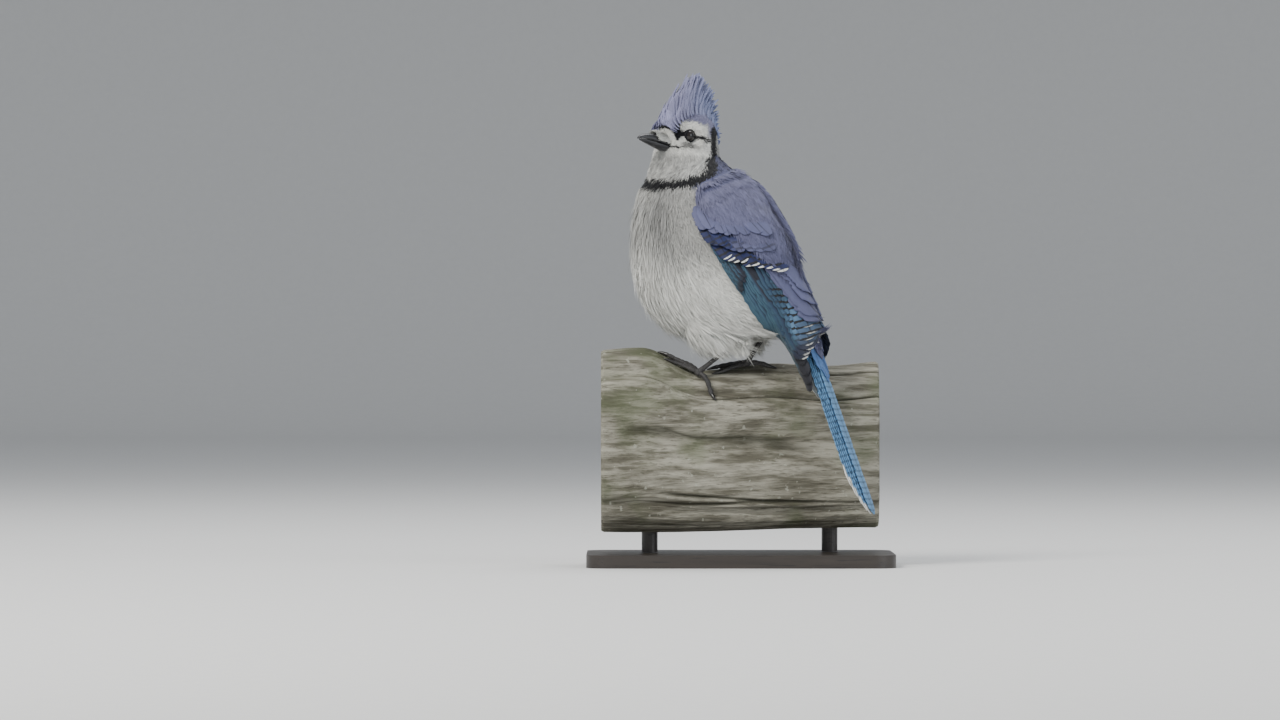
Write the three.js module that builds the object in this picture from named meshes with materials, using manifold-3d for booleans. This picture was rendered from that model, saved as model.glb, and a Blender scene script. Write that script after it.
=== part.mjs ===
// A blue jay perched on a cut length of weathered fence rail, held by a plain display stand.
// Life size, in millimetres, +Z up. X runs to the right of the main view and Y away from the viewer.
// The origin is the centre of the stand base's underside.
import * as THREE from "three";
import { mergeVertices } from "three/addons/utils/BufferGeometryUtils.js";
import Module from "manifold-3d";

const wasm = await Module();
wasm.setup();

// Driving dimensions.
const GAP = 0.3; // clearance between pieces that meet
const WING_LENGTH = 133; // bend of the folded wing to the tip of the longest primary
const TAIL_LENGTH = 125; // root of the middle tail feathers to their tips
const BILL_TIP = 40.2; // forward of the middle of the head
const TARSUS_RADIUS = 1.45;
const EYE_RADIUS = 4.2;
const BIRD_X = -11; // the point of the body's own plane that stands over the feet
const BIRD_Y = -14;
const BODY_YAW = -20; // the breast points to the left of the main view and this far away from the viewer
const HEAD_YAW = 42; // the head is turned back towards the viewer
const HEAD_PITCH = 10;
const HEAD_MIDDLE = [23, 266]; // forward of the bird's point, and height
const BASE = { width: 190, depth: 122, height: 8, corner: 14 };
const ROD = { radius: 5, spread: 56, socket: 9 };
const RAIL = { length: 172, halfDepth: 38, bottom: 22, top: 123, y: 9.6, yaw: 8, squareness: 0.56 };

const { degToRad: rad, clamp, lerp, smoothstep } = THREE.MathUtils;
const V = (x, y, z) => new THREE.Vector3(x, y, z);

// The horizontal unit vector that points forward at a yaw, and the one to its left.
const ahead = (yaw) => V(-Math.cos(rad(yaw)), -Math.sin(rad(yaw)), 0);
const leftOf = (yaw) => V(Math.sin(rad(yaw)), -Math.cos(rad(yaw)), 0);

// A point of the bird given as distance forward, distance to its left, and height.
function bird(forward, left, height) {
  return V(BIRD_X, BIRD_Y, height)
    .addScaledVector(ahead(BODY_YAW), forward)
    .addScaledVector(leftOf(BODY_YAW), left);
}

// A point in the turned head's own frame: forward, left and up of its middle.
function headPoint(forward, left, up) {
  const [u, w] = HEAD_MIDDLE;
  const cos = Math.cos(rad(HEAD_PITCH));
  const sin = Math.sin(rad(HEAD_PITCH));
  return bird(u, 0, w + forward * sin + up * cos)
    .addScaledVector(ahead(HEAD_YAW), forward * cos - up * sin)
    .addScaledVector(leftOf(HEAD_YAW), left);
}

// Catmull-Rom interpolation of rows of numbers. The parameter runs from 0 to the last row's index.
function between(rows, parameter) {
  const i = clamp(Math.floor(parameter), 0, rows.length - 2);
  const t = parameter - i;
  const row = (k) => rows[clamp(k, 0, rows.length - 1)];
  const [a, b, c, d] = [row(i - 1), row(i), row(i + 1), row(i + 2)];
  return b.map((value, n) => {
    const slopeIn = (c[n] - a[n]) / 2;
    const slopeOut = (d[n] - value) / 2;
    const rise = c[n] - value;
    return value + t * (slopeIn + t * (3 * rise - 2 * slopeIn - slopeOut + t * (slopeIn + slopeOut - 2 * rise)));
  });
}

// The body from the crown to the tail: the back and front points of each cross-section (forward, height),
// then its half width, its yaw and how much it narrows towards the front. The last two rows guide the wing tips.
const SECTIONS = [
  [16, 283.6, 24, 284.8, 3.2, 42, 0.1],
  [9.5, 279.5, 33, 282.5, 8.2, 42, 0.15],
  [5, 274, 38.5, 278.5, 11.6, 42, 0.2],
  [3.2, 268.5, 41.8, 274, 13.8, 42, 0.22],
  [2.7, 263.5, 43.3, 268.5, 15.3, 40, 0.2],
  [2.4, 259.8, 44, 261.5, 16.8, 36, 0.12],
  [2.1, 256.9, 45.8, 252.6, 18.6, 24, 0.06],
  [2.5, 253.8, 48.8, 240, 21.5, 5, 0],
  [-5, 246.5, 54.5, 228, 27, -10, 0],
  [-17, 238, 57.5, 208, 32, -18, 0],
  [-28.5, 227, 57.5, 186, 34.5, BODY_YAW, 0],
  [-37, 213.5, 52, 166.5, 35, BODY_YAW, 0],
  [-43, 198.5, 40, 151.5, 33, BODY_YAW, 0],
  [-45.5, 184, 24, 143.5, 29.5, BODY_YAW, 0],
  [-49.5, 170, 4, 141, 25, BODY_YAW, 0],
  [-55, 158, -16, 142, 18.5, BODY_YAW, 0],
  [-60, 147, -40, 142, 13.5, BODY_YAW, 0],
  [-74.4, 125.5, -55.6, 118.5, 12.5, BODY_YAW, 0],
  [-84.8, 97.3, -66, 90.3, 12.5, BODY_YAW, 0],
];
const JAW_SECTION = 5.6;
const COLLAR_SECTION = 7.3;
const RUMP_SECTION = 16.2;

// A point of the body's surface. The angle runs from the front, 0, by the left side to the back, 180.
function bodyPoint(section, angle, lift = 0) {
  const [backU, backW, frontU, frontW, halfWidth, yaw, egg] = between(SECTIONS, section);
  const tilt = Math.atan2(frontW - backW, frontU - backU);
  const halfDepth = Math.hypot(frontU - backU, frontW - backW) / 2;
  const cos = Math.cos(rad(angle));
  const sin = Math.sin(rad(angle));
  const reach = (halfDepth + lift) * cos;
  return bird((backU + frontU) / 2, 0, (backW + frontW) / 2)
    .addScaledVector(ahead(yaw), reach * Math.cos(tilt))
    .add(V(0, 0, reach * Math.sin(tilt)))
    .addScaledVector(leftOf(yaw), (halfWidth + lift) * sin * (1 - egg * cos));
}

// A closed mesh from vertices and faces, turned right side out.
function closedMesh(points, faces) {
  let volume = 0;
  for (const [a, b, c] of faces) volume += points[a].dot(points[b].clone().cross(points[c]));
  const index = faces.flatMap(([a, b, c]) => (volume < 0 ? [a, c, b] : [a, b, c]));
  return new THREE.BufferGeometry().setFromPoints(points).setIndex(index);
}

// A closed skin over rings of points, with a fan at each end.
function loft(rings) {
  const n = rings[0].length;
  const points = rings.flat();
  const faces = [];
  for (let i = 0; i + 1 < rings.length; i++)
    for (let j = 0; j < n; j++) {
      const [a, b] = [i * n + j, i * n + ((j + 1) % n)];
      faces.push([a, b, b + n], [a, b + n, a + n]);
    }
  for (const [ring, start] of [[rings[0], 0], [rings.at(-1), points.length - n]]) {
    const middle = points.length;
    points.push(ring.reduce((sum, p) => sum.add(p), V(0, 0, 0)).divideScalar(n));
    for (let j = 0; j < n; j++) {
      const edge = [start + j, start + ((j + 1) % n)];
      faces.push(start ? [middle, edge[0], edge[1]] : [middle, edge[1], edge[0]]);
    }
  }
  return closedMesh(points, faces);
}

// A thin plate: two grids of points, split into triangles alike, and closed round the border.
function plate(under, over) {
  const rows = under.length;
  const columns = under[0].length;
  const points = [...under.flat(), ...over.flat()];
  const above = rows * columns;
  const at = (i, j) => i * columns + j;
  const faces = [];
  for (let i = 0; i + 1 < rows; i++)
    for (let j = 0; j + 1 < columns; j++) {
      const [a, b, c, d] = [at(i, j), at(i, j + 1), at(i + 1, j + 1), at(i + 1, j)];
      faces.push([a, b, c], [a, c, d], [above + a, above + c, above + b], [above + a, above + d, above + c]);
    }
  const border = [];
  for (let j = 0; j + 1 < columns; j++) border.push(at(0, j));
  for (let i = 0; i + 1 < rows; i++) border.push(at(i, columns - 1));
  for (let j = columns - 1; j > 0; j--) border.push(at(rows - 1, j));
  for (let i = rows - 1; i > 0; i--) border.push(at(i, 0));
  border.forEach((a, k) => {
    const b = border[(k + 1) % border.length];
    faces.push([a, above + b, b], [a, above + a, above + b]);
  });
  return closedMesh(points, faces);
}

// A round tapering tube through points, with a radius at each.
function tube(points, radii, sides = 8) {
  const rings = points.map((p, i) => {
    const along = points[Math.min(i + 1, points.length - 1)].clone().sub(points[Math.max(i - 1, 0)]).normalize();
    const side = V(0, 0, 1).cross(along).normalize();
    const up = along.clone().cross(side);
    return Array.from({ length: sides }, (_, k) => {
      const turn = (2 * Math.PI * k) / sides;
      return p.clone().addScaledVector(side, radii[i] * Math.cos(turn)).addScaledVector(up, radii[i] * Math.sin(turn));
    });
  });
  return loft(rings);
}

// Booleans.
function solid(geometry) {
  const bare = geometry.clone();
  bare.deleteAttribute("normal");
  bare.deleteAttribute("uv");
  const merged = mergeVertices(bare, 1e-4);
  return new wasm.Manifold(
    new wasm.Mesh({
      numProp: 3,
      vertProperties: merged.attributes.position.array,
      triVerts: new Uint32Array(merged.index.array),
    }),
  );
}
const joined = (geometries) => wasm.Manifold.union(geometries.map(solid));
const SMALLEST_EDGE = 0.06; // shorter ones, left by the joins, are merged away
const largest = (made) => made.decompose().sort((a, b) => b.volume() - a.volume())[0];

function meshOf(name, made, look) {
  const { numProp, vertProperties, triVerts, numVert } = largest(made).simplify(SMALLEST_EDGE).getMesh();
  const positions = new Float32Array(numVert * 3);
  for (let i = 0; i < numVert; i++) positions.set(vertProperties.subarray(i * numProp, i * numProp + 3), i * 3);
  const geometry = new THREE.BufferGeometry();
  geometry.setAttribute("position", new THREE.BufferAttribute(positions, 3));
  geometry.setIndex(new THREE.BufferAttribute(triVerts, 1));
  geometry.computeVertexNormals();
  const mesh = new THREE.Mesh(geometry, LOOKS[look]);
  mesh.name = name;
  return mesh;
}

const look = (color, roughness, metalness = 0) => new THREE.MeshStandardMaterial({ color, roughness, metalness });
const LOOKS = {
  face: look(0xd8d8d2, 0.85),
  crest: look(0x8a8db8, 0.8),
  breast: look(0xbfbfb6, 0.9),
  wing: look(0x3f5f9c, 0.6),
  tail: look(0x4a78b8, 0.6),
  bill: look(0x1b1c20, 0.35),
  eye: look(0x0c0a0a, 0.05),
  leg: look(0x3a3836, 0.55),
  claw: look(0x141312, 0.35),
  wood: look(0x8f8a78, 0.95),
  stand: look(0x24211f, 0.5),
};

// The rail's surface: x along it, and an angle from its top by the front, 90, to its underside, 180.
// Long grooves follow the grain, and the top rises towards the left.
const GROOVES = [[58, 6, 0.07, 3], [90, 5, 0.06, 2], [128, 7, 0.05, 4], [-40, 6, 0.06, 3], [-85, 7, 0.07, 4], [-130, 6, 0.05, 2]];
function railPoint(x, angle, lift = 0) {
  const top = RAIL.top + 12 * smoothstep(-x, 24, 62) + 1.5 * Math.sin(x / 13) + 2 * smoothstep(x, 30, 80);
  const middle = (top + RAIL.bottom) / 2;
  const bend = (value) => Math.sign(value) * Math.abs(value) ** RAIL.squareness;
  const wander = (k) => 2.5 * Math.sin(x / 31 + 2 * k);
  const worn = GROOVES.reduce((sum, [at, spread, depth, k]) => {
    const off = (angle - at - wander(k)) / spread;
    return sum + depth * Math.exp(-off * off);
  }, 0);
  const swell = 1 - worn + 0.025 * Math.sin(rad(angle) * 3 + x / 40);
  const y = (RAIL.halfDepth * swell + lift) * bend(Math.sin(rad(angle)));
  const z = (((top - RAIL.bottom) / 2) * swell + lift) * bend(Math.cos(rad(angle)));
  return V(x, RAIL.y + x * Math.tan(rad(RAIL.yaw)) - y, middle + z);
}

function railSolid(lift = 0) {
  const [steps, sides] = [12, 32];
  const half = RAIL.length / 2 + lift;
  const rings = [];
  for (let i = 0; i <= steps; i++) {
    const x = lerp(-half, half, i / steps);
    rings.push(Array.from({ length: sides }, (_, k) => railPoint(x, -180 + (360 * (k + 0.5)) / sides, lift)));
  }
  return solid(loft(rings));
}

// The whole body in one skin, grown by a lift where something has to stay clear of it.
function bodySolid(lift = 0) {
  const [rings, sides] = [32, 24];
  const made = [];
  for (let i = 0; i <= rings; i++) {
    const section = RUMP_SECTION * (i / rings);
    made.push(Array.from({ length: sides }, (_, k) => bodyPoint(section, (360 * (k + 0.5)) / sides, lift)));
  }
  for (const ring of lift ? [made[0], made.at(-1)] : []) {
    const away = ring === made[0] ? V(0, 0, lift) : bird(-1, 0, -1.6).sub(bird(0, 0, 0)).normalize().multiplyScalar(lift);
    ring.forEach((p) => p.add(away));
  }
  return solid(loft(made));
}

// A thin slab across the body at a section, to part it there.
function partingCut(section) {
  const [back, front] = [bodyPoint(section, 180), bodyPoint(section, 0)];
  const across = front.clone().sub(back).normalize();
  const left = leftOf(between(SECTIONS, section)[5]);
  const slab = new THREE.BoxGeometry(160, 160, GAP);
  slab.applyMatrix4(new THREE.Matrix4().makeBasis(across, left, across.clone().cross(left)));
  const middle = back.add(front).divideScalar(2);
  slab.translate(middle.x, middle.y, middle.z);
  return solid(slab);
}

// The folded wing is laid out on the flank, in millimetres from the bend of the wing: towards the tip, and up to the back.
const WING_BEND = [3.6, 223.5];
const WING_AIM = rad(59.4); // below the horizontal, towards the tail
function onFlank(along, up, lift, side) {
  const u = WING_BEND[0] - along * Math.cos(WING_AIM) - up * Math.sin(WING_AIM);
  const w = WING_BEND[1] - along * Math.sin(WING_AIM) + up * Math.cos(WING_AIM);
  let [low, high] = [COLLAR_SECTION, SECTIONS.length - 1];
  for (let i = 0; i < 24; i++) {
    const [backU, backW, frontU, frontW] = between(SECTIONS, (low + high) / 2);
    const above = (frontU - backU) * (w - backW) - (frontW - backW) * (u - backU);
    if (above > 0) high = (low + high) / 2;
    else low = (low + high) / 2;
  }
  const [backU, backW, frontU, frontW] = between(SECTIONS, low);
  const depth = Math.hypot(frontU - backU, frontW - backW);
  const share = ((u - backU) * (frontU - backU) + (w - backW) * (frontW - backW)) / (depth * depth);
  const angle = THREE.MathUtils.radToDeg(Math.acos(clamp(2 * share - 1, -0.999, 0.999)));
  return bodyPoint(low, side * angle, lift);
}

// A feather's vane from root to tip, as two grids of points. The place function gives a point from the
// distance along, the distance to the side and the height; the vane widens, then rounds off to its tip.
const VANE_EDGE = 0.45; // share of the thickness left at the tip
function vane(place, { half, thick, shares, blunt = 0.62 }) {
  const grid = (face) =>
    shares.map((t) => {
      const rounding = t > blunt ? Math.sqrt(1 - ((0.95 * (t - blunt)) / (1 - blunt)) ** 2) : 1;
      const wide = half * Math.min(1, 0.55 + 1.5 * t) * rounding;
      return [-wide, wide].map((across) => place(t, across, face * thick * lerp(1, VANE_EDGE, t)));
    });
  return plate(grid(0), grid(1));
}

// Rows of the wing's feathers, from the lowest up. Roots and tips are places on the flank, along and up, that
// the row runs through. Rise is the height above the flank at the root and at the tip, so that each row lies
// over the roots of the next. Feathers further up the wing lie over those below, and each leans like a shingle.
const WING_ROWS = [
  { row: "primaries", count: 5, half: 3.6, rise: [1.1, 1.6], step: 0.6, lean: 0.2,
    roots: [[38, -4], [46, 4]], tips: [[120, -2.6], [133, -0.6], [129, 1.6], [121, 4], [111, 6.6]] },
  { row: "secondaries", count: 4, half: 4.4, rise: [2.2, 4.8], step: 0.1, lean: 0.24,
    roots: [[46, 4], [52, 15]], tips: [[113, 7.6], [110, 10], [104, 12.2], [97, 14.2]] },
  { row: "tertials", count: 3, half: 4.8, rise: [2.4, 5.8], step: 0.1, lean: 0.2,
    roots: [[46, 13], [48, 19]], tips: [[92, 12.5], [84, 14.5], [75, 16.5]] },
  { row: "primary_coverts", count: 3, half: 3, rise: [1.6, 3.8], step: 0.1, lean: 0.2,
    roots: [[22, -5], [29, 0]], tips: [[60, -6], [57, -3], [54, 0]] },
  { row: "greater_coverts", count: 5, half: 4.6, rise: [1.8, 5.2], step: 0.1, lean: 0.2,
    roots: [[22, -2], [38, 18]], tips: [[44, 1.4], [56, 8], [66, 16]] },
  { row: "median_coverts", count: 4, half: 5, rise: [1.8, 5.2], step: 0.1, lean: 0.2,
    roots: [[8, -1], [26, 17]], tips: [[29, -2], [40, 6], [50, 17]] },
  { row: "lesser_coverts", count: 4, half: 5.4, rise: [1.4, 5], step: 0.1, lean: 0.2,
    roots: [[-4, 2], [10, 19]], tips: [[16, -1], [24, 7], [33, 20]] },
];
const FLIGHT_THICKNESS = 0.5;
const STATION = 20; // every vane bends at the same distances along the wing, so that those side by side don't cross
function wingFeather(row, k, side) {
  const t = k / (row.count - 1);
  const [root, tip] = [row.roots, row.tips].map((line) => between(line, t * (line.length - 1)));
  const [along, up] = [tip[0] - root[0], tip[1] - root[1]];
  const length = Math.hypot(along, up);
  const place = (share, across, height) => {
    const rise = lerp(row.rise[0], row.rise[1], share) + row.step * k - across * row.lean + height;
    const foot = [root[0] + along * share - (up / length) * across, root[1] + up * share + (along / length) * across];
    return onFlank(foot[0], foot[1], rise, side);
  };
  const shares = [0];
  for (let s = STATION * Math.ceil((root[0] + 4) / STATION); s < tip[0] - 4; s += STATION) shares.push((s - root[0]) / along);
  return vane(place, { half: row.half, thick: FLIGHT_THICKNESS, shares: [...shares, 1] });
}

// The arm that the wing's feathers grow from: a low shield, which ends half way to the wing's tip.
const SHIELD = [
  // along, lower edge, upper edge, thickness
  [-6, 0, 9, 1.2],
  [4, -4.5, 20, 2.8],
  [16, -6, 23, 3.4],
  [30, -6.8, 24, 3.6],
  [44, -6, 22, 3.4],
  [56, -4, 18, 2.6],
  [0.5 * WING_LENGTH, -1, 15, 1.2],
];
function wingShield(side) {
  const [rows, columns] = [8, 6];
  const grid = (face) =>
    Array.from({ length: rows }, (_, i) => {
      const [along, low, high, thick] = between(SHIELD, ((SHIELD.length - 1) * i) / (rows - 1));
      return Array.from({ length: columns }, (_, j) => {
        const t = j / (columns - 1);
        const crown = 0.35 + 0.65 * Math.sqrt(Math.max(0, Math.sin(Math.PI * t)));
        return onFlank(along, lerp(low, high, t), face ? GAP + thick * crown : -1, side);
      });
    });
  return plate(grid(0), grid(1));
}
function wing(side) {
  const feathers = WING_ROWS.flatMap((row) => Array.from({ length: row.count }, (_, k) => wingFeather(row, k, side)));
  return joined([wingShield(side), ...feathers]);
}

// The tail's own frame: a distance from its root towards the tip, to the left, and out of its upper face.
const TAIL_ROOT = [-54.5, 150];
const TAIL_TIP = [-98, 33];
function tailPoint(along, left, out) {
  const [du, dw] = [TAIL_TIP[0] - TAIL_ROOT[0], TAIL_TIP[1] - TAIL_ROOT[1]];
  const length = Math.hypot(du, dw);
  const [eu, ew] = [du / length, dw / length];
  return bird(TAIL_ROOT[0] + eu * along + ew * out, left, TAIL_ROOT[1] + ew * along - eu * out);
}

// Twelve tail feathers, nearly closed: the middle pair on top and the outer ones shorter and further below.
const TAIL_PAIRS = 6;
const TAIL_STEP = 0.75; // height between one tail feather and the next below it
function tailFeather(pair, side) {
  const place = (share, across, height) => {
    const outward = lerp(0.6 + 0.7 * pair, 1 + 1.6 * pair, share) + side * across;
    const left = side * (pair ? Math.max(outward, 0.2) : outward);
    const below = TAIL_STEP * (pair ? pair + 1 : side < 0 ? 1 : 0);
    const length = TAIL_LENGTH - 0.75 * pair ** 2;
    return tailPoint(-2 + (length + 2) * share, left, 0.4 - below + height);
  };
  return vane(place, { half: 6.2, thick: 0.45, shares: [0, 0.3, 0.8, 0.93, 1], blunt: 0.8 });
}

// Shorter feathers over and under the tail's root. Each row is its side of the tail, out, and its length.
const TAIL_COVERTS = [
  { out: 1.2, away: 1, length: 38 },
  { out: -6.6, away: -1, length: 48 },
];
function tailCovert({ out, away, length }, k) {
  const place = (share, across, height) => {
    const left = k * lerp(3, 3.6, share) + across;
    const droop = away * (0.5 * Math.abs(k) - 2.2 * (1 - share) ** 2);
    return tailPoint(lerp(-2, length - 4 * Math.abs(k), share), left, out + droop - 0.02 * left * left + height);
  };
  return vane(place, { half: 4.4, thick: 0.6, shares: [0, 0.5, 1], blunt: 0.45 });
}

// What the tail's feathers grow from: a wedge inside the coverts, which ends half way along the tail.
function tailCore() {
  const rows = 4;
  const grid = (out) =>
    Array.from({ length: rows }, (_, i) => {
      const t = i / (rows - 1);
      return [-1, 0, 1].map((edge) => tailPoint(lerp(-4, 0.45 * TAIL_LENGTH, t), edge * lerp(8, 9, t), lerp(out, -2.6, 0.7 * t)));
    });
  return plate(grid(-6.4), grid(0.6));
}
function tail() {
  const pairs = Array.from({ length: TAIL_PAIRS }, (_, pair) => pair);
  const main = pairs.flatMap((pair) => [tailFeather(pair, 1), tailFeather(pair, -1)]);
  const coverts = TAIL_COVERTS.flatMap((row) => [-2, -1, 0, 1, 2].map((k) => tailCovert(row, k)));
  return joined([tailCore(), ...main, ...coverts]);
}

// The raised crest, feather by feather, in rows from the forehead to the nape. Each row gives where it grows on
// the crown and where its middle feather's tip stands, forward and up of the head's middle, and how many feathers.
const CREST_ROWS = [
  { root: [17.5, 4], tip: [15.4, 19], count: 3 },
  { root: [15, 9.5], tip: [9.5, 27.5], count: 3 },
  { root: [11, 13.5], tip: [3.2, 34.5], count: 3 },
  { root: [5, 16], tip: [-2, 39], count: 3 },
  { root: [-1.5, 16.5], tip: [-10, 35], count: 3 },
  { root: [-8, 15], tip: [-17, 27.5], count: 3 },
  { root: [-14, 9.5], tip: [-21.8, 16], count: 3 },
];
function crestFeather({ root, tip, count }, k) {
  const column = k - (count - 1) / 2;
  const turn = rad(45 * column);
  const drop = 2 * column * column;
  const [forward, up] = [tip[0] - root[0], tip[1] - drop - root[1]];
  const length = Math.hypot(forward, up);
  const place = (share, across, height) => {
    const curl = 1.6 * Math.sin(Math.PI * share);
    const f = root[0] + forward * share + (up / length) * (curl + height * Math.cos(turn)) - across * Math.sin(turn) * 0.7;
    const w = root[1] + up * share - (forward / length) * (curl + height * Math.cos(turn));
    return headPoint(f, column * lerp(4.4, 3, share) + across * Math.cos(turn) + height * Math.sin(turn), w);
  };
  return vane(place, { half: 3.2, thick: 0.7, shares: [0, 0.5, 1], blunt: 0.45 });
}

// The crest's core, which reaches no more than half way to the feathers' tips.
const CREST_CORE = [
  // forward, up, half length, half width
  [0, 3, 19.5, 10],
  [0.3, 10, 18.4, 10.5],
  [0.8, 15, 14.6, 9],
  [0.2, 19.5, 9.5, 6],
  [-1.5, 24, 5, 3],
  [-2.5, 27.5, 1.5, 1],
];
function crestCore() {
  const [steps, sides] = [5, 10];
  return loft(
    Array.from({ length: steps + 1 }, (_, i) => {
      const [forward, up, half, wide] = between(CREST_CORE, ((CREST_CORE.length - 1) * i) / steps);
      return Array.from({ length: sides }, (_, k) => {
        const turn = (2 * Math.PI * k) / sides;
        return headPoint(forward + half * Math.cos(turn), wide * Math.sin(turn), up);
      });
    }),
  );
}
function crest() {
  const feathers = CREST_ROWS.flatMap((row) => Array.from({ length: row.count }, (_, k) => crestFeather(row, k)));
  return joined([crestCore(), ...feathers]);
}

// Bill: forward of the head's middle, height of the outer line and of the mouth, and half width.
const UPPER_BILL = [
  [12, -3.2, -9.5, 4.6],
  [18, -3.2, -9.3, 4.7],
  [24, -3.5, -9, 4.2],
  [30, -4.4, -8.6, 3.3],
  [35, -5.8, -8.4, 2.2],
  [38.5, -7.4, -8.8, 1.2],
  [BILL_TIP, -8.9, -9.5, 0.4],
];
const LOWER_BILL = [
  [12, -13.6, -9.8, 4.2],
  [18, -13.4, -9.6, 4.3],
  [24, -12.9, -9.3, 3.8],
  [30, -11.9, -8.9, 2.8],
  [35, -10.6, -8.8, 1.7],
  [38.6, -9.8, -9.25, 0.5],
];
function mandible(profile, lift = 0) {
  const [steps, half] = [9, 6];
  return loft(
    Array.from({ length: steps + 1 }, (_, i) => {
      const [forward, outer, mouth, wide] = between(profile, ((profile.length - 1) * i) / steps);
      const grow = Math.sign(outer - mouth) * lift;
      return Array.from({ length: 2 * half }, (_, k) => {
        const turn = (Math.PI * (k % half)) / (half - 1);
        const [left, rise] = [Math.cos(turn), Math.sin(turn) ** 0.8];
        return k < half
          ? headPoint(forward, (wide + lift) * left, lerp(mouth, outer, rise) + grow * rise)
          : headPoint(forward, -(wide + lift) * left * 0.96, mouth - grow);
      });
    }),
  );
}

// Eyes sit in sockets with a raised lid round each.
function eyePoint(side, out = 0) {
  return headPoint(8.4, side * (9.6 + out), -1.8);
}
function ball(middle, radius, detail = 12) {
  return new THREE.SphereGeometry(radius, detail, Math.round(detail * 0.7)).translate(middle.x, middle.y, middle.z);
}
function lid(side) {
  const ring = new THREE.TorusGeometry(3.5, 0.75, 5, 14);
  const outward = leftOf(HEAD_YAW).multiplyScalar(side);
  ring.applyQuaternion(new THREE.Quaternion().setFromUnitVectors(V(0, 0, 1), outward));
  const at = eyePoint(side, 2.9);
  return ring.translate(at.x, at.y, at.z);
}

// Bristly tufts that cover the nostrils and lie forward over the root of the bill.
function nasalTufts() {
  return [-1, 1].flatMap((side) =>
    [0, 1].map((k) => {
      const spread = side * (1.2 + 2.6 * k);
      const points = [
        headPoint(12, spread * 0.9, -3 - k),
        headPoint(19, spread * 1.05, -1.6 - 1.2 * k),
        headPoint(24, spread * 1.1, -2 - 1.5 * k),
        headPoint(28 - 2 * k, spread * 1.05, -3.3 - 1.4 * k),
      ];
      return tube(points, [1.8, 1.6, 1.1, 0.25], 5);
    }),
  );
}

// The mouth's line goes on into the face for a short way behind the bill.
function gape() {
  const corners = [8, 24].flatMap((forward) => [-12, 12].map((left) => [forward, left]));
  const [under, over] = [-0.35, 0.35].map((up) => corners.map(([f, l]) => headPoint(f, l, -9.6 + up)));
  return plate([under.slice(0, 2), under.slice(2)], [over.slice(0, 2), over.slice(2)]);
}

// Legs. The ankles are forward, left and height; toes run over the rail as x and angle on its surface.
const LEGS = {
  left: {
    ankle: [-17.3, 12, 141.5],
    thigh: [
      [11, 12, 158, 13],
      [5, 12, 148.5, 14],
      [-4, 12, 145.5, 10.5],
      [-11, 12, 143.5, 6.5],
      [-17.5, 12, 141.5, 3],
    ],
    foot: [-26, 36],
    toes: [
      { to: [-41.5, 30], bow: [-34, 29], radius: 1.35 },
      { to: [-45.5, 17], bow: [-35, 22], radius: 1.5 },
      { to: [-39, 3], bow: [-31, 14], radius: 1.3 },
      { to: [-17.5, 60], bow: [-20, 46], radius: 1.6 },
    ],
  },
  right: {
    ankle: [-28, -12, 150],
    thigh: [
      [4, -11, 158, 12],
      [-2, -11, 150, 13],
      [-11, -12, 147.5, 10.5],
      [-19, -12, 146.5, 6.5],
      [-26, -12, 147, 3.2],
    ],
    foot: [4, 21],
    toes: [
      { to: [-11.5, 30], bow: [-4, 28], radius: 1.3 },
      { to: [-14.5, 12], bow: [-5, 15], radius: 1.5 },
      { to: [-9, -6], bow: [-1, 4], radius: 1.3 },
      { to: [16.5, 27], bow: [11, 24], radius: 1.6 },
    ],
  },
};
const CLAW_LENGTH = 6.5;
const HEEL_RADIUS = 2.3;
function toePath({ foot }, { to, bow, radius }) {
  const count = 7;
  return Array.from({ length: count }, (_, i) => {
    const t = i / (count - 1);
    const mix = (k) => (1 - t) * (1 - t) * foot[k] + 2 * t * (1 - t) * bow[k] + t * t * to[k];
    const knuckle = 0.5 * Math.sin(Math.PI * t) + (1 - t) * 1.2;
    return railPoint(mix(0), mix(1), radius + GAP + knuckle);
  });
}
function foot(leg, lift = 0) {
  const toes = leg.toes.map((digit) => {
    const path = toePath(leg, digit);
    const radii = path.map((_, i) => digit.radius * (1 - 0.03 * i) * (i % 2 ? 0.95 : 1.08) + lift);
    return tube(path, radii, 6);
  });
  return joined([...toes, ball(heelOf(leg), HEEL_RADIUS + lift, 10)]);
}
function claw(leg, digit) {
  const path = toePath(leg, digit);
  const end = path.at(-1);
  const along = end.clone().sub(path.at(-2)).normalize();
  const sunk = railPoint(digit.to[0] + along.x * CLAW_LENGTH, digit.to[1] - along.y * CLAW_LENGTH * 0.6, GAP);
  const points = [0, 0.25, 0.5, 0.75, 1].map((t) => {
    const start = end.clone().addScaledVector(along, GAP + CLAW_LENGTH * t);
    return start.lerp(sunk, t * t * 0.9);
  });
  return tube(points, [1.15, 1, 0.8, 0.55, 0.15], 6);
}
const heelOf = (leg) => railPoint(leg.foot[0], leg.foot[1], TARSUS_RADIUS + 1.6);
function thigh(leg, lift = 0) {
  const [rings, sides] = [8, 14];
  const rows = Array.from({ length: rings }, (_, i) => between(leg.thigh, ((leg.thigh.length - 1) * i) / (rings - 1)));
  const middles = rows.map(([forward, left, height]) => bird(forward, left, height));
  return tube(middles, rows.map((row) => row[3] + lift), sides);
}
function shank(leg) {
  const points = [0, 0.2, 0.8, 0.93, 1].map((t) => bird(...leg.ankle).lerp(heelOf(leg), t));
  return tube(points, [1.7, TARSUS_RADIUS, TARSUS_RADIUS, 1.7, 1.8], 10);
}

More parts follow.
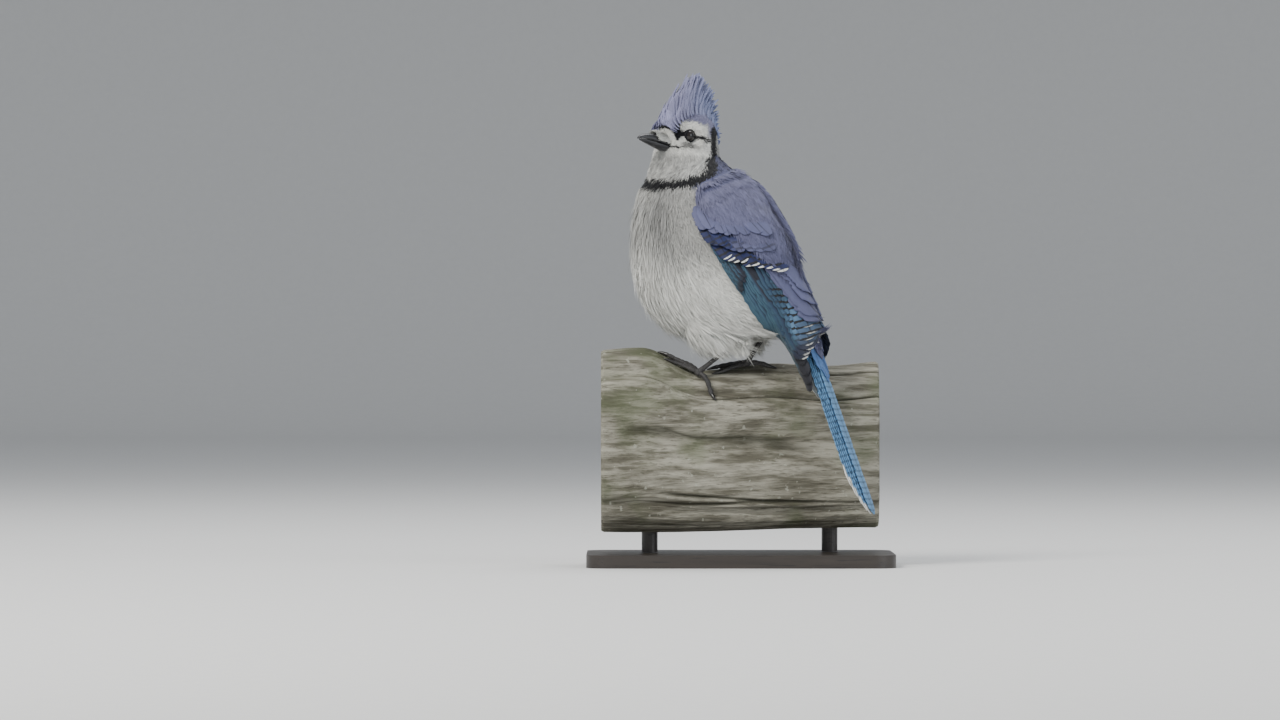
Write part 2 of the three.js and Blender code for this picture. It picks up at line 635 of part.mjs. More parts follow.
function standBase() {
  const [x, y, r] = [BASE.width / 2, BASE.depth / 2, BASE.corner];
  const outline = new THREE.Shape()
    .moveTo(-x + r, -y)
    .lineTo(x - r, -y)
    .absarc(x - r, -y + r, r, -Math.PI / 2, 0)
    .absarc(x - r, y - r, r, 0, Math.PI / 2)
    .absarc(-x + r, y - r, r, Math.PI / 2, Math.PI)
    .absarc(-x + r, -y + r, r, Math.PI, Math.PI * 1.5);
  return new THREE.ExtrudeGeometry(outline, { depth: BASE.height, bevelEnabled: false, curveSegments: 8 });
}
function rod(side, grow = 0) {
  const x = side * ROD.spread;
  const [bottom, top] = [BASE.height + GAP - grow, RAIL.bottom + ROD.socket + grow];
  const made = new THREE.CylinderGeometry(ROD.radius + grow, ROD.radius + grow, top - bottom, 20);
  return made.rotateX(Math.PI / 2).translate(x, RAIL.y + x * Math.tan(rad(RAIL.yaw)), (top + bottom) / 2);
}

// Assembly.
const model = new THREE.Group();
const add = (name, made, finish) => model.add(meshOf(name, made, finish));

const clearBody = bodySolid(GAP);
const clearRail = railSolid(GAP);
const rods = { left: -1, right: 1 };
add("stand_base", solid(standBase()), "stand");
for (const [name, side] of Object.entries(rods)) add(`stand_rod_${name}`, solid(rod(side)), "stand");
add("perch_rail", railSolid().subtract(joined([rod(-1, GAP), rod(1, GAP)])), "wood");

const sides = { left: 1, right: -1 };
const eyes = Object.values(sides).map((side) => ball(eyePoint(side), EYE_RADIUS + GAP));
const bills = [mandible(UPPER_BILL, GAP), mandible(LOWER_BILL, GAP)];
const parted = bodySolid()
  .add(joined([...Object.values(sides).map(lid), ...nasalTufts()]))
  .subtract(joined([...eyes, ...bills, gape()]))
  .subtract(partingCut(JAW_SECTION))
  .subtract(partingCut(COLLAR_SECTION))
  .decompose()
  .filter((piece) => piece.volume() > 1000)
  .sort((a, b) => b.boundingBox().max[2] - a.boundingBox().max[2]);
["head", "neck", "torso"].forEach((name, i) => add(name, parted[i], i < 2 ? "face" : "breast"));
for (const [name, side] of Object.entries(sides)) add(`eye_${name}`, solid(ball(eyePoint(side), EYE_RADIUS)), "eye");

add("bill_upper", solid(mandible(UPPER_BILL)), "bill");
add("bill_lower", solid(mandible(LOWER_BILL)), "bill");
add("crest", crest().subtract(clearBody), "crest");

const clearTail = tail();
add("tail", tail().subtract(clearBody), "tail");
for (const [name, side] of Object.entries(sides)) {
  add(`wing_${name}`, wing(side).subtract(clearBody).subtract(clearTail), "wing");
}

for (const [name, leg] of Object.entries(LEGS)) {
  const shankCut = solid(thigh(leg, GAP)).add(foot(leg, GAP)).add(clearBody);
  add(`thigh_${name}`, solid(thigh(leg)).subtract(clearBody), "breast");
  add(`shank_${name}`, solid(shank(leg)).subtract(shankCut), "leg");
  add(`foot_${name}`, foot(leg).subtract(clearRail), "leg");
  leg.toes.forEach((digit, i) => add(`claw_${name}_${i + 1}`, solid(claw(leg, digit)).subtract(clearRail), "claw"));
}

export default model;
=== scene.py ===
import math

import bpy
import numpy as np
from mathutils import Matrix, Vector


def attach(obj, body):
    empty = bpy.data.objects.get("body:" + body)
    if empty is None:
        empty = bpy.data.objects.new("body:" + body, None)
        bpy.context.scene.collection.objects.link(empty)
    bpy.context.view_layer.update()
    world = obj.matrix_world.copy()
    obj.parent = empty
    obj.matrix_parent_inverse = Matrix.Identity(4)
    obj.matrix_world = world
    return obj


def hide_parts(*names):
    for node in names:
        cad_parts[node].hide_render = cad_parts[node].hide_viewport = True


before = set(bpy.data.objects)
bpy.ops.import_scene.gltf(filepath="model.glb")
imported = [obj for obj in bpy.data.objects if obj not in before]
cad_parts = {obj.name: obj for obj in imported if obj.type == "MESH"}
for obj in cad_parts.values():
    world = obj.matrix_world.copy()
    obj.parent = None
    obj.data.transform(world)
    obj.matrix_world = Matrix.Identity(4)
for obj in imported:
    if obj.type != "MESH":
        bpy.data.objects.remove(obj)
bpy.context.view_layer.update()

# A blue jay on a cut length of weathered rail. The shapes below are worked out in millimetres, as the
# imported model's are, and add_mesh turns them into Blender's metres.
MM = 0.001
BIRD_X, BIRD_Y = -11, -14  # the point of the body's own plane that stands over the feet
BODY_YAW = -20
HEAD_YAW = 42
HEAD_PITCH = 10
HEAD_MIDDLE = (23, 266)  # forward of the bird's point, and height
EYE_RADIUS = 4.2
EYE_PLACE = (8.4, 9.6, -1.8)  # forward, out and up of the head's middle
TAIL_LENGTH = 125
GAP = 0.3
PATCH = 0.003  # the size of one tuft's patch on the map OFBake
EACH = (slice(None), None, None)  # spreads a number for each feather over its rows and columns
random = np.random.default_rng(11)

# Camera: the photograph's framing at the bird's own scale.
PIXEL = 0.62  # millimetres a pixel at the bird
PICTURE = (1280, 720)
RAIL_MIDDLE_PIXEL = 740
FLOOR_PIXEL = 565.5
CAMERA_DISTANCE = 4000
SENSOR = 36


# Places

def ahead(yaw):
    turn = np.radians(np.asarray(yaw, float))
    return np.stack([-np.cos(turn), -np.sin(turn), 0 * turn], -1)


def left_of(yaw):
    turn = np.radians(np.asarray(yaw, float))
    return np.stack([np.sin(turn), -np.cos(turn), 0 * turn], -1)


def scaled(vector, amount):
    return vector * np.asarray(amount, float)[..., None]


def unit(vectors):
    return vectors / np.maximum(np.linalg.norm(vectors, axis=-1, keepdims=True), 1e-9)


def upward(amount):
    return scaled(np.array([0.0, 0.0, 1.0]), amount)


def bird(forward, left, height):
    """A point given as distance forward of the bird's point, distance to its left, and height."""
    return (
        np.array([BIRD_X, BIRD_Y, 0.0])
        + scaled(ahead(BODY_YAW), forward)
        + scaled(left_of(BODY_YAW), left)
        + upward(height)
    )


PITCH_COS = math.cos(math.radians(HEAD_PITCH))
PITCH_SIN = math.sin(math.radians(HEAD_PITCH))


def head_point(forward, left, up):
    """A point in the turned head's own frame."""
    forward, left, up = np.broadcast_arrays(*(np.asarray(v, float) for v in (forward, left, up)))
    middle = bird(HEAD_MIDDLE[0], 0, HEAD_MIDDLE[1])
    return (
        middle
        + upward(forward * PITCH_SIN + up * PITCH_COS)
        + scaled(ahead(HEAD_YAW), forward * PITCH_COS - up * PITCH_SIN)
        + scaled(left_of(HEAD_YAW), left)
    )


def in_head(points):
    """Points as forward, left and up of the head's middle."""
    away = points - bird(HEAD_MIDDLE[0], 0, HEAD_MIDDLE[1])
    level = away @ ahead(HEAD_YAW)
    rise = away[..., 2]
    forward = level * PITCH_COS + rise * PITCH_SIN
    up = rise * PITCH_COS - level * PITCH_SIN
    return forward, away @ left_of(HEAD_YAW), up


def head_way(forward, left, up):
    """A direction in the turned head's own frame."""
    return head_point(forward, left, up) - head_point(0, 0, 0)


def between(rows, parameter):
    """Smooth interpolation of rows of numbers. The parameter runs from 0 to the last row's index."""
    rows = np.asarray(rows, float)
    place = np.clip(np.asarray(parameter, float), 0, len(rows) - 1)
    i = np.minimum(place.astype(int), len(rows) - 2)
    t = (place - i)[..., None]
    before, start = rows[np.maximum(i - 1, 0)], rows[i]
    end, after = rows[i + 1], rows[np.minimum(i + 2, len(rows) - 1)]
    slope_in = (end - before) / 2
    slope_out = (after - start) / 2
    rise = end - start
    bow = 3 * rise - 2 * slope_in - slope_out
    twist = slope_in + slope_out - 2 * rise
    return start + t * (slope_in + t * (bow + t * twist))


def smooth(value, low, high):
    share = np.clip((value - low) / (high - low), 0, 1)
    return share * share * (3 - 2 * share)


def lerp(start, end, share):
    return start + (end - start) * share


def side_name(side):
    return "left" if side > 0 else "right"


# The body from the crown to the tail: back and front of each cross-section as (forward, height), then its
# half width, its yaw and how much it narrows towards the front. The last two rows guide the wing tips.
SECTIONS = [
    (16, 283.6, 24, 284.8, 3.2, 42, 0.1),
    (9.5, 279.5, 33, 282.5, 8.2, 42, 0.15),
    (5, 274, 38.5, 278.5, 11.6, 42, 0.2),
    (3.2, 268.5, 41.8, 274, 13.8, 42, 0.22),
    (2.7, 263.5, 43.3, 268.5, 15.3, 40, 0.2),
    (2.4, 259.8, 44, 261.5, 16.8, 36, 0.12),
    (2.1, 256.9, 45.8, 252.6, 18.6, 24, 0.06),
    (2.5, 253.8, 48.8, 240, 21.5, 5, 0),
    (-5, 246.5, 54.5, 228, 27, -10, 0),
    (-17, 238, 57.5, 208, 32, -18, 0),
    (-28.5, 227, 57.5, 186, 34.5, BODY_YAW, 0),
    (-37, 213.5, 52, 166.5, 35, BODY_YAW, 0),
    (-43, 198.5, 40, 151.5, 33, BODY_YAW, 0),
    (-45.5, 184, 24, 143.5, 29.5, BODY_YAW, 0),
    (-49.5, 170, 4, 141, 25, BODY_YAW, 0),
    (-55, 158, -16, 142, 18.5, BODY_YAW, 0),
    (-60, 147, -40, 142, 13.5, BODY_YAW, 0),
    (-74.4, 125.5, -55.6, 118.5, 12.5, BODY_YAW, 0),
    (-84.8, 97.3, -66, 90.3, 12.5, BODY_YAW, 0),
]
COLLAR_SECTION = 7.3
RUMP_SECTION = 16.2


def section_parts(section):
    row = between(SECTIONS, section)
    back_u, back_w, front_u, front_w, half_width, yaw, egg = np.moveaxis(row, -1, 0)
    tilt = np.arctan2(front_w - back_w, front_u - back_u)
    half_depth = np.hypot(front_u - back_u, front_w - back_w) / 2
    middle = bird((back_u + front_u) / 2, 0 * back_u, (back_w + front_w) / 2)
    return middle, tilt, half_depth, half_width, yaw, egg


def body_point(section, angle, lift=0.0):
    """A point of the body's surface. The angle runs from the front, 0, by the left side to the back, 180."""
    section, angle, lift = np.broadcast_arrays(*(np.asarray(v, float) for v in (section, angle, lift)))
    middle, tilt, half_depth, half_width, yaw, egg = section_parts(section)
    cos, sin = np.cos(np.radians(angle)), np.sin(np.radians(angle))
    reach = (half_depth + lift) * cos
    aside = (half_width + lift) * sin * (1 - egg * cos)
    return (
        middle
        + scaled(ahead(yaw), reach * np.cos(tilt))
        + upward(reach * np.sin(tilt))
        + scaled(left_of(yaw), aside)
    )


def unwrap(points):
    """The section and angle that a point lies at, and its distance from the axis as a share of the body's."""
    low, high = np.zeros(len(points)), np.full(len(points), RUMP_SECTION)
    for _ in range(20):
        mid = (low + high) / 2
        middle, tilt, _, _, yaw, _ = section_parts(mid)
        normal = upward(np.cos(tilt)) - scaled(ahead(yaw), np.sin(tilt))
        above = np.sum((points - middle) * normal, -1) > 0
        high = np.where(above, mid, high)
        low = np.where(above, low, mid)
    middle, tilt, half_depth, half_width, yaw, _ = section_parts(low)
    out = points - middle
    reach = np.sum(out * ahead(yaw), -1) * np.cos(tilt) + out[:, 2] * np.sin(tilt)
    reach = reach / half_depth
    aside = np.sum(out * left_of(yaw), -1) / half_width
    return low, np.degrees(np.arctan2(aside, reach)), np.hypot(reach, aside)


WING_BEND = (3.6, 223.5)
WING_AIM = math.radians(59.4)  # below the horizontal, towards the tail


def on_flank(along, up, lift, side):
    """A point over the flank, from the bend of the wing: towards the tip, up to the back, and out."""
    u = WING_BEND[0] - along * math.cos(WING_AIM) - up * math.sin(WING_AIM)
    w = WING_BEND[1] - along * math.sin(WING_AIM) + up * math.cos(WING_AIM)
    low = np.full(np.shape(u), COLLAR_SECTION)
    high = np.full(np.shape(u), len(SECTIONS) - 1.0)
    for _ in range(20):
        mid = (low + high) / 2
        back_u, back_w, front_u, front_w = np.moveaxis(between(SECTIONS, mid), -1, 0)[:4]
        above = (front_u - back_u) * (w - back_w) - (front_w - back_w) * (u - back_u) > 0
        high = np.where(above, mid, high)
        low = np.where(above, low, mid)
    back_u, back_w, front_u, front_w = np.moveaxis(between(SECTIONS, low), -1, 0)[:4]
    depth = np.hypot(front_u - back_u, front_w - back_w)
    share = ((u - back_u) * (front_u - back_u) + (w - back_w) * (front_w - back_w)) / (depth * depth)
    angle = np.degrees(np.arccos(np.clip(2 * share - 1, -0.999, 0.999)))
    return body_point(low, side * angle, lift)


TAIL_ROOT = (-54.5, 150)
TAIL_TIP = (-98, 33)


def tail_point(along, left, out):
    """A point in the tail's frame: from its root towards the tip, to the left, and out of its upper face."""
    du, dw = TAIL_TIP[0] - TAIL_ROOT[0], TAIL_TIP[1] - TAIL_ROOT[1]
    length = math.hypot(du, dw)
    eu, ew = du / length, dw / length
    return bird(TAIL_ROOT[0] + eu * along + ew * out, left, TAIL_ROOT[1] + ew * along - eu * out)


RAIL = {"length": 172, "half_depth": 38, "bottom": 22, "top": 123, "y": 9.6, "yaw": 8, "squareness": 0.56}
# The rail's broad grooves: angle from the top and spread in degrees, depth as a share of the rail's half
# size, and a number that sets how each wanders.
GROOVES = [
    (58, 6, 0.07, 3), (90, 5, 0.06, 2), (128, 7, 0.05, 4),
    (-40, 6, 0.06, 3), (-85, 7, 0.07, 4), (-130, 6, 0.05, 2),
]


def rail_point(x, angle, lift=0.0):
    """The rail's surface: x along it, and an angle from its top by the front, 90, to its underside, 180."""
    x, angle = np.asarray(x, float), np.asarray(angle, float)
    top = RAIL["top"] + 12 * smooth(-x, 24, 62) + 1.5 * np.sin(x / 13) + 2 * smooth(x, 30, 80)
    middle = (top + RAIL["bottom"]) / 2
    worn = 0 * x * angle
    for at, spread, depth, k in GROOVES:
        off = (angle - at - 2.5 * np.sin(x / 31 + 2 * k)) / spread
        worn = worn + depth * np.exp(-off * off)
    turn = np.radians(angle)
    swell = 1 - worn + 0.025 * np.sin(turn * 3 + x / 40)
    round_off = RAIL["squareness"]
    sideways = np.sign(np.sin(turn)) * np.abs(np.sin(turn)) ** round_off
    rise = np.sign(np.cos(turn)) * np.abs(np.cos(turn)) ** round_off
    y = (RAIL["half_depth"] * swell + lift) * sideways
    z = ((top - RAIL["bottom"]) / 2 * swell + lift) * rise
    slope = math.tan(math.radians(RAIL["yaw"]))
    return np.stack(np.broadcast_arrays(x, RAIL["y"] + x * slope - y, middle + z), -1)


# Meshes

def add_mesh(name, points, face_groups):
    """One piece from points in millimetres and lists of faces, each an array of corner numbers."""
    mesh = bpy.data.meshes.new(name)
    corners = np.concatenate([group.ravel() for group in face_groups])
    sizes = np.concatenate([np.full(len(group), group.shape[1]) for group in face_groups])
    starts = np.cumsum(sizes) - sizes
    mesh.vertices.add(len(points))
    mesh.vertices.foreach_set("co", (np.asarray(points) * MM).astype(np.float32).ravel())
    mesh.loops.add(len(corners))
    mesh.loops.foreach_set("vertex_index", corners.astype(np.int32))
    mesh.polygons.add(len(sizes))
    mesh.polygons.foreach_set("loop_start", starts.astype(np.int32))
    mesh.polygons.foreach_set("use_smooth", np.ones(len(sizes), bool))
    mesh.update(calc_edges=True)
    piece = bpy.data.objects.new(name, mesh)
    bpy.context.collection.objects.link(piece)
    return piece


def corner_numbers(mesh):
    numbers = np.zeros(len(mesh.loops), np.int32)
    mesh.loops.foreach_get("vertex_index", numbers)
    return numbers


def add_map(piece, name, places):
    """A UV map from one (u, v) place for each point."""
    layer = piece.data.uv_layers.new(name=name, do_init=False)
    layer.data.foreach_set("uv", places[corner_numbers(piece.data)].astype(np.float32).ravel())


def add_values(piece, name, values):
    """A colour attribute that holds four numbers for each point."""
    layer = piece.data.attributes.new(name, "FLOAT_COLOR", "POINT")
    layer.data.foreach_set("color", values.astype(np.float32).ravel())


def finish_modifier(piece, kind, **settings):
    bpy.ops.object.select_all(action="DESELECT")
    piece.select_set(True)
    bpy.context.view_layer.objects.active = piece
    modifier = piece.modifiers.new(kind.title(), kind)
    for key, value in settings.items():
        setattr(modifier, key, value)
    bpy.ops.object.modifier_apply(modifier=modifier.name)


def grid_faces(rows, columns, closed=False):
    """Quads over a grid of points; a closed grid joins its last column to its first."""
    i, j = np.meshgrid(np.arange(rows - 1), np.arange(columns if closed else columns - 1), indexing="ij")
    a = i * columns + j
    b = i * columns + (j + 1) % columns
    return np.stack([a, b, b + columns, a + columns], -1).reshape(-1, 4)


def ring_faces(rows, columns):
    """Quads over a grid of points that is closed both ways."""
    j = np.arange(columns)
    after = (j + 1) % columns
    end = (rows - 1) * columns
    last = np.stack([end + j, end + after, after, j], -1)
    return np.concatenate([grid_faces(rows, columns, closed=True), last])


def add_ball(name, middle, radius, segments, rings):
    bpy.ops.object.select_all(action="DESELECT")
    place = tuple(middle * MM)
    bpy.ops.mesh.primitive_uv_sphere_add(
        segments=segments, ring_count=rings, radius=radius * MM, location=place,
    )
    ball = bpy.context.object
    ball.name = name
    bpy.ops.object.transform_apply(location=True, rotation=True, scale=True)
    bpy.ops.object.shade_smooth()
    return ball


def add_loft(name, rings):
    """A closed skin over rings of points, with a fan at each end, turned right side out."""
    count, sides = rings.shape[:2]
    points = np.concatenate([rings.reshape(-1, 3), rings[0].mean(0)[None], rings[-1].mean(0)[None]])
    quads = grid_faces(count, sides, closed=True)
    j = np.arange(sides)
    after = (j + 1) % sides
    first = np.stack([np.full(sides, count * sides), after, j], -1)
    start = (count - 1) * sides
    last = np.stack([np.full(sides, count * sides + 1), start + j, start + after], -1)
    corners = points[np.concatenate([first, last, quads[:, :3], quads[:, [0, 2, 3]]])]
    volume = np.sum(corners[:, 0] * np.cross(corners[:, 1], corners[:, 2]))
    groups = [quads, first, last]
    if volume < 0:
        groups = [group[:, ::-1] for group in groups]
    return add_mesh(name, points, groups)


def tube_rings(path, radii, sides, flatten=1.0):
    """Rings round a path of points, with a radius for each point or each point of each ring."""
    along = unit(np.gradient(path, axis=0))
    side = unit(np.cross([0.0, 0.0, 1.0], along))
    up = np.cross(along, side)
    turn = np.linspace(0, 2 * math.pi, sides, endpoint=False)
    radii = np.broadcast_to(np.asarray(radii, float).reshape(len(path), -1), (len(path), sides))
    return (
        path[:, None]
        + side[:, None] * (radii * np.cos(turn))[..., None]
        + up[:, None] * (radii * np.sin(turn) * flatten)[..., None]
    )


def joined(name, pieces):
    bpy.ops.object.select_all(action="DESELECT")
    for piece in pieces:
        piece.select_set(True)
    bpy.context.view_layer.objects.active = pieces[0]
    bpy.ops.object.join()
    pieces[0].name = name
    return pieces[0]


def place_piece(piece, material, slot, *nodes):
    piece.data.materials.clear()
    piece.data.materials.append(material)
    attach(piece, "root")
    if nodes:
        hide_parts(*nodes)


# Materials

class Value:
    """A shader socket. Arithmetic on it adds Math nodes."""

    def __init__(self, shader, socket):
        self.shader = shader
        self.socket = socket

    def __add__(self, other):
        return self.shader.math("ADD", self, other)

    __radd__ = __add__

    def __mul__(self, other):
        return self.shader.math("MULTIPLY", self, other)

    __rmul__ = __mul__

    def __sub__(self, other):
        return self.shader.math("SUBTRACT", self, other)

    def __rsub__(self, other):
        return self.shader.math("SUBTRACT", other, self)


class Shader:
    """A procedural material: its nodes, and the Principled surface that they feed."""

    def __init__(self, name, **constants):
        self.material = bpy.data.materials.new(name)
        self.material.use_nodes = True
        self.nodes = self.material.node_tree.nodes
        self.links = self.material.node_tree.links
        self.surface = self.nodes["Principled BSDF"]
        for key, value in constants.items():
            self.surface.inputs[key.replace("_", " ").title().replace("Ior", "IOR")].default_value = value

    def feed(self, socket, value):
        if isinstance(value, Value):
            self.links.new(value.socket, socket)
        elif value is not None:
            socket.default_value = value

    def node(self, kind, output=0, settings=None, inputs=None):
        made = self.nodes.new(kind)
        for key, value in (settings or {}).items():
            setattr(made, key, value)
        for key, value in (inputs or {}).items():
            self.feed(made.inputs[key], value)
        return Value(self, made.outputs[output])

    def math(self, operation, first, second=None):
        return self.node("ShaderNodeMath", 0, {"operation": operation}, {0: first, 1: second})

    def absolute(self, value):
        return self.node("ShaderNodeMath", 0, {"operation": "ABSOLUTE"}, {0: value})

    def sine(self, value):
        return self.node("ShaderNodeMath", 0, {"operation": "SINE"}, {0: value})

    def step(self, value, low, high):
        """0 below low, 1 above high, and smooth between."""
        settings = {"interpolation_type": "SMOOTHSTEP"}
        return self.node("ShaderNodeMapRange", 0, settings, {0: value, 1: low, 2: high, 3: 0.0, 4: 1.0})

    def mix(self, share, first, second):
        first, second = (c if isinstance(c, Value) else (*c, 1.0) for c in (first, second))
        return self.node("ShaderNodeMix", 2, {"data_type": "RGBA"}, {0: share, 6: first, 7: second})

    def shade(self, colour, amount):
        """A colour made lighter or darker by a factor."""
        grey = self.node("ShaderNodeCombineXYZ", 0, None, {0: amount, 1: amount, 2: amount})
        return self.node("ShaderNodeVectorMath", 0, {"operation": "MULTIPLY"}, {0: colour, 1: grey})

    def place(self):
        return self.node("ShaderNodeTexCoord", "Object")

    def mapped(self, scale, turn=0.0):
        """Object coordinates, turned about Z and stretched."""
        inputs = {"Vector": self.place(), "Rotation": (0, 0, turn), "Scale": scale}
        return self.node("ShaderNodeMapping", 0, None, inputs)

    def noise(self, scale, detail=3.0, vector=None, roughness=0.5):
        inputs = {"Vector": vector or self.place(), "Scale": scale, "Detail": detail, "Roughness": roughness}
        return self.node("ShaderNodeTexNoise", "Fac", None, inputs)

    def attribute(self, name):
        """An attribute's three colour channels and its alpha."""
        colour = self.node("ShaderNodeAttribute", "Color", {"attribute_name": name})
        split = self.nodes.new("ShaderNodeSeparateColor")
        self.feed(split.inputs[0], colour)
        alpha = Value(self, colour.socket.node.outputs["Alpha"])
        return [Value(self, split.outputs[k]) for k in range(3)] + [alpha, colour]

    def finish(self, colour, roughness=None, height=None, depth=0.0003, strength=0.5):
        self.feed(self.surface.inputs["Base Color"], colour)
        self.feed(self.surface.inputs["Roughness"], roughness)
        if height is not None:
            inputs = {"Height": height, "Distance": depth, "Strength": strength}
            self.feed(self.surface.inputs["Normal"], self.node("ShaderNodeBump", 0, None, inputs))
        return self.material


WHITE = (0.76, 0.76, 0.72)
GREY = (0.23, 0.23, 0.225)
BLACK = (0.008, 0.008, 0.010)
LAVENDER = (0.200, 0.200, 0.320)
MANTLE = (0.088, 0.094, 0.182)
SKY_BLUE = (0.085, 0.190, 0.430)
WING_BLUE = (0.010, 0.017, 0.080)
DEEP_BLUE = (0.010, 0.020, 0.060)
TEAL = (0.012, 0.033, 0.060)
PALE_BLUE = (0.110, 0.210, 0.370)
DUSK = (0.016, 0.017, 0.024)
EDGE_BLUE = (0.050, 0.120, 0.165)
TAIL_BLUE = (0.13, 0.30, 0.52)
CREST_BLUE = (0.20, 0.235, 0.40)


def plumage(name):
    """Small feathers. The attribute marks says how black, white, blue and lavender each is, and strand
    its tone."""
    shader = Shader(name, sheen_weight=0.15, specular_ior_level=0.25)
    black, white, blue, lavender, _ = shader.attribute("marks")
    tone, along, _, _, _ = shader.attribute("strand")
    mottle = shader.noise(900.0, 4.0)
    patch = shader.noise(160.0, 3.0)
    colour = shader.mix(white, GREY, WHITE)
    colour = shader.mix(blue, colour, MANTLE)
    colour = shader.mix(lavender, colour, LAVENDER)
    colour = shader.mix(black, colour, BLACK)
    light = (0.72 + 0.34 * tone) * (0.80 + 0.28 * along) * (0.86 + 0.28 * patch) * (0.90 + 0.20 * mottle)
    return shader.finish(shader.shade(colour, light), 0.72 + 0.2 * mottle, mottle, 0.0003, 0.35)


def vane_finish(name, bar_spacing, gloss=0.5):
    """Large feathers. The map vane runs across and along each; paint holds its bars, white tip, darkness
    and length in tenths of a metre, and tint its own colour."""
    shader = Shader(name, sheen_weight=0.08, specular_ior_level=0.35)
    bars, tip, dark, length, _ = shader.attribute("paint")
    _, _, _, ribbed, tint = shader.attribute("tint")
    where = shader.node("ShaderNodeUVMap", 0, {"uv_map": "vane"})
    across = Value(shader, shader.nodes.new("ShaderNodeSeparateXYZ").outputs[0])
    shader.feed(across.socket.node.inputs[0], where)
    share = Value(shader, across.socket.node.outputs[1])
    aside = across * 2.0 - 1.0
    out = shader.absolute(aside)
    distance = share * length * 100.0
    wobble = shader.noise(500.0, 2.0)
    barb = shader.sine((distance - out * 2.2) * 11.0 + wobble * 3.0)
    bar = shader.sine((distance + out * 0.5 + wobble * 1.1) * (2 * math.pi / bar_spacing))
    bar = shader.step(bar, 0.30, 0.62) * bars * shader.step(share, 0.22, 0.34)
    inner = shader.step(aside, -0.66, -0.30)
    dusk = dark * shader.math("MAXIMUM", inner * 0.85, shader.step(share, 0.80, 0.95))
    rim = shader.step(share + wobble * 0.02, 1.0 - tip, 1.02 - tip) * shader.step(tip, 0.005, 0.01)
    shaft = shader.step(0.075 - out, 0.0, 0.05)
    pale_edge = shader.step(0.0 - aside, 0.30, 1.0) * dark * shader.step(0.93 - share, 0.0, 0.05)
    colour = shader.mix(dusk, tint, DUSK)
    colour = shader.mix(pale_edge * 0.75, colour, EDGE_BLUE)
    colour = shader.mix(bar, colour, BLACK)
    colour = shader.mix(rim, colour, WHITE)
    colour = shader.mix(shaft * ribbed * 0.75, colour, BLACK)
    light = (0.92 + 0.08 * barb) * (0.82 + 0.36 * shader.noise(260.0, 3.0)) * (0.92 + 0.16 * out)
    height = barb * 0.5 + shaft * ribbed * 1.5
    return shader.finish(shader.shade(colour, light), gloss + 0.25 * wobble, height, 0.00008, 0.6)


def horn(name, colour, edge, gloss):
    """Bill and claws: smooth, with fine growth lines and paler worn edges."""
    shader = Shader(name, coat_weight=0.3, coat_roughness=0.25)
    lines = shader.noise(700.0, 5.0, shader.mapped((1, 1, 5)))
    wear = shader.step(shader.noise(260.0, 3.0), 0.52, 0.70)
    return shader.finish(shader.mix(wear * 0.35, colour, edge), gloss + 0.25 * lines, lines, 0.0001, 0.4)


def lid_finish():
    """Bare black skin round the eye."""
    shader = Shader("lid_skin", specular_ior_level=0.15)
    folds = shader.noise(1800.0, 3.0)
    colour = shader.mix(folds, (0.004, 0.004, 0.005), (0.012, 0.012, 0.013))
    return shader.finish(colour, 0.7 + 0.1 * folds)


def eye_finish():
    """A dark brown iris round a black pupil under a wet cornea, about the eye's own axis."""
    shader = Shader("eye_wet", coat_weight=0.35, coat_roughness=0.03, specular_ior_level=0.35)
    rim, pupil, _, _, _ = shader.attribute("iris")
    streaks = shader.noise(2500.0, 4.0)
    iris = shader.mix(streaks, (0.006, 0.004, 0.003), (0.014, 0.009, 0.006))
    colour = shader.mix(pupil, iris, (0.001, 0.001, 0.001))
    colour = shader.mix(rim, colour, (0.006, 0.005, 0.005))
    return shader.finish(colour, 0.05 + 0.03 * streaks)


def leg_finish():
    """Dark scaly skin, worn paler in places, with black creases."""
    shader = Shader("leg_scales", specular_ior_level=0.4)
    inputs = {"Vector": shader.place(), "Scale": 1100.0}
    cells = shader.node("ShaderNodeTexVoronoi", "Distance", {"feature": "DISTANCE_TO_EDGE"}, inputs)
    crease = shader.step(cells, 0.0, 0.12)
    worn = shader.noise(300.0, 4.0)
    colour = shader.mix(worn, (0.020, 0.019, 0.020), (0.085, 0.080, 0.078))
    colour = shader.mix(1.0 - crease, colour, (0.008, 0.008, 0.008))
    return shader.finish(colour, 0.42 + 0.25 * worn, crease + worn * 0.5, 0.0002, 0.6)


def wood_finish():
    """Weathered timber: silver-grey grain along the rail, painted shade that darkens its long cracks, and
    algae and lichen.
    """
    shader = Shader("weathered_wood", specular_ior_level=0.2)
    turn = -math.radians(RAIL["yaw"])
    fine = shader.noise(900.0, 6.0, shader.mapped((0.05, 1, 1), turn), 0.65)
    broad = shader.noise(190.0, 5.0, shader.mapped((0.07, 1, 1), turn), 0.6)
    damp = shader.noise(26.0, 5.0)
    spots = shader.noise(240.0, 4.0)
    groove, cut, _, _, _ = shader.attribute("carved")
    rings = shader.sine(cut * shader.noise(60.0, 1.0) * 260.0)
    colour = shader.mix(shader.step(broad, 0.35, 0.66), (0.105, 0.098, 0.074), (0.345, 0.330, 0.270))
    colour = shader.mix(shader.step(fine, 0.50, 0.70) * 0.7, colour, (0.055, 0.050, 0.036))
    colour = shader.mix(shader.step(damp, 0.48, 0.66) * 0.5, colour, (0.085, 0.105, 0.050))
    colour = shader.mix(shader.step(spots, 0.66, 0.72) * 0.5, colour, (0.42, 0.43, 0.36))
    # Painted shade: the long cracks are painted near black inside, standing for the shadow in them.
    colour = shader.mix(groove * 0.85, colour, (0.022, 0.022, 0.013))
    colour = shader.mix(cut * (0.35 + 0.25 * rings), colour, (0.10, 0.075, 0.045))
    height = broad + fine * 0.7 + spots * 0.2
    return shader.finish(colour, 0.78 + 0.2 * fine, height, 0.0012, 0.8)


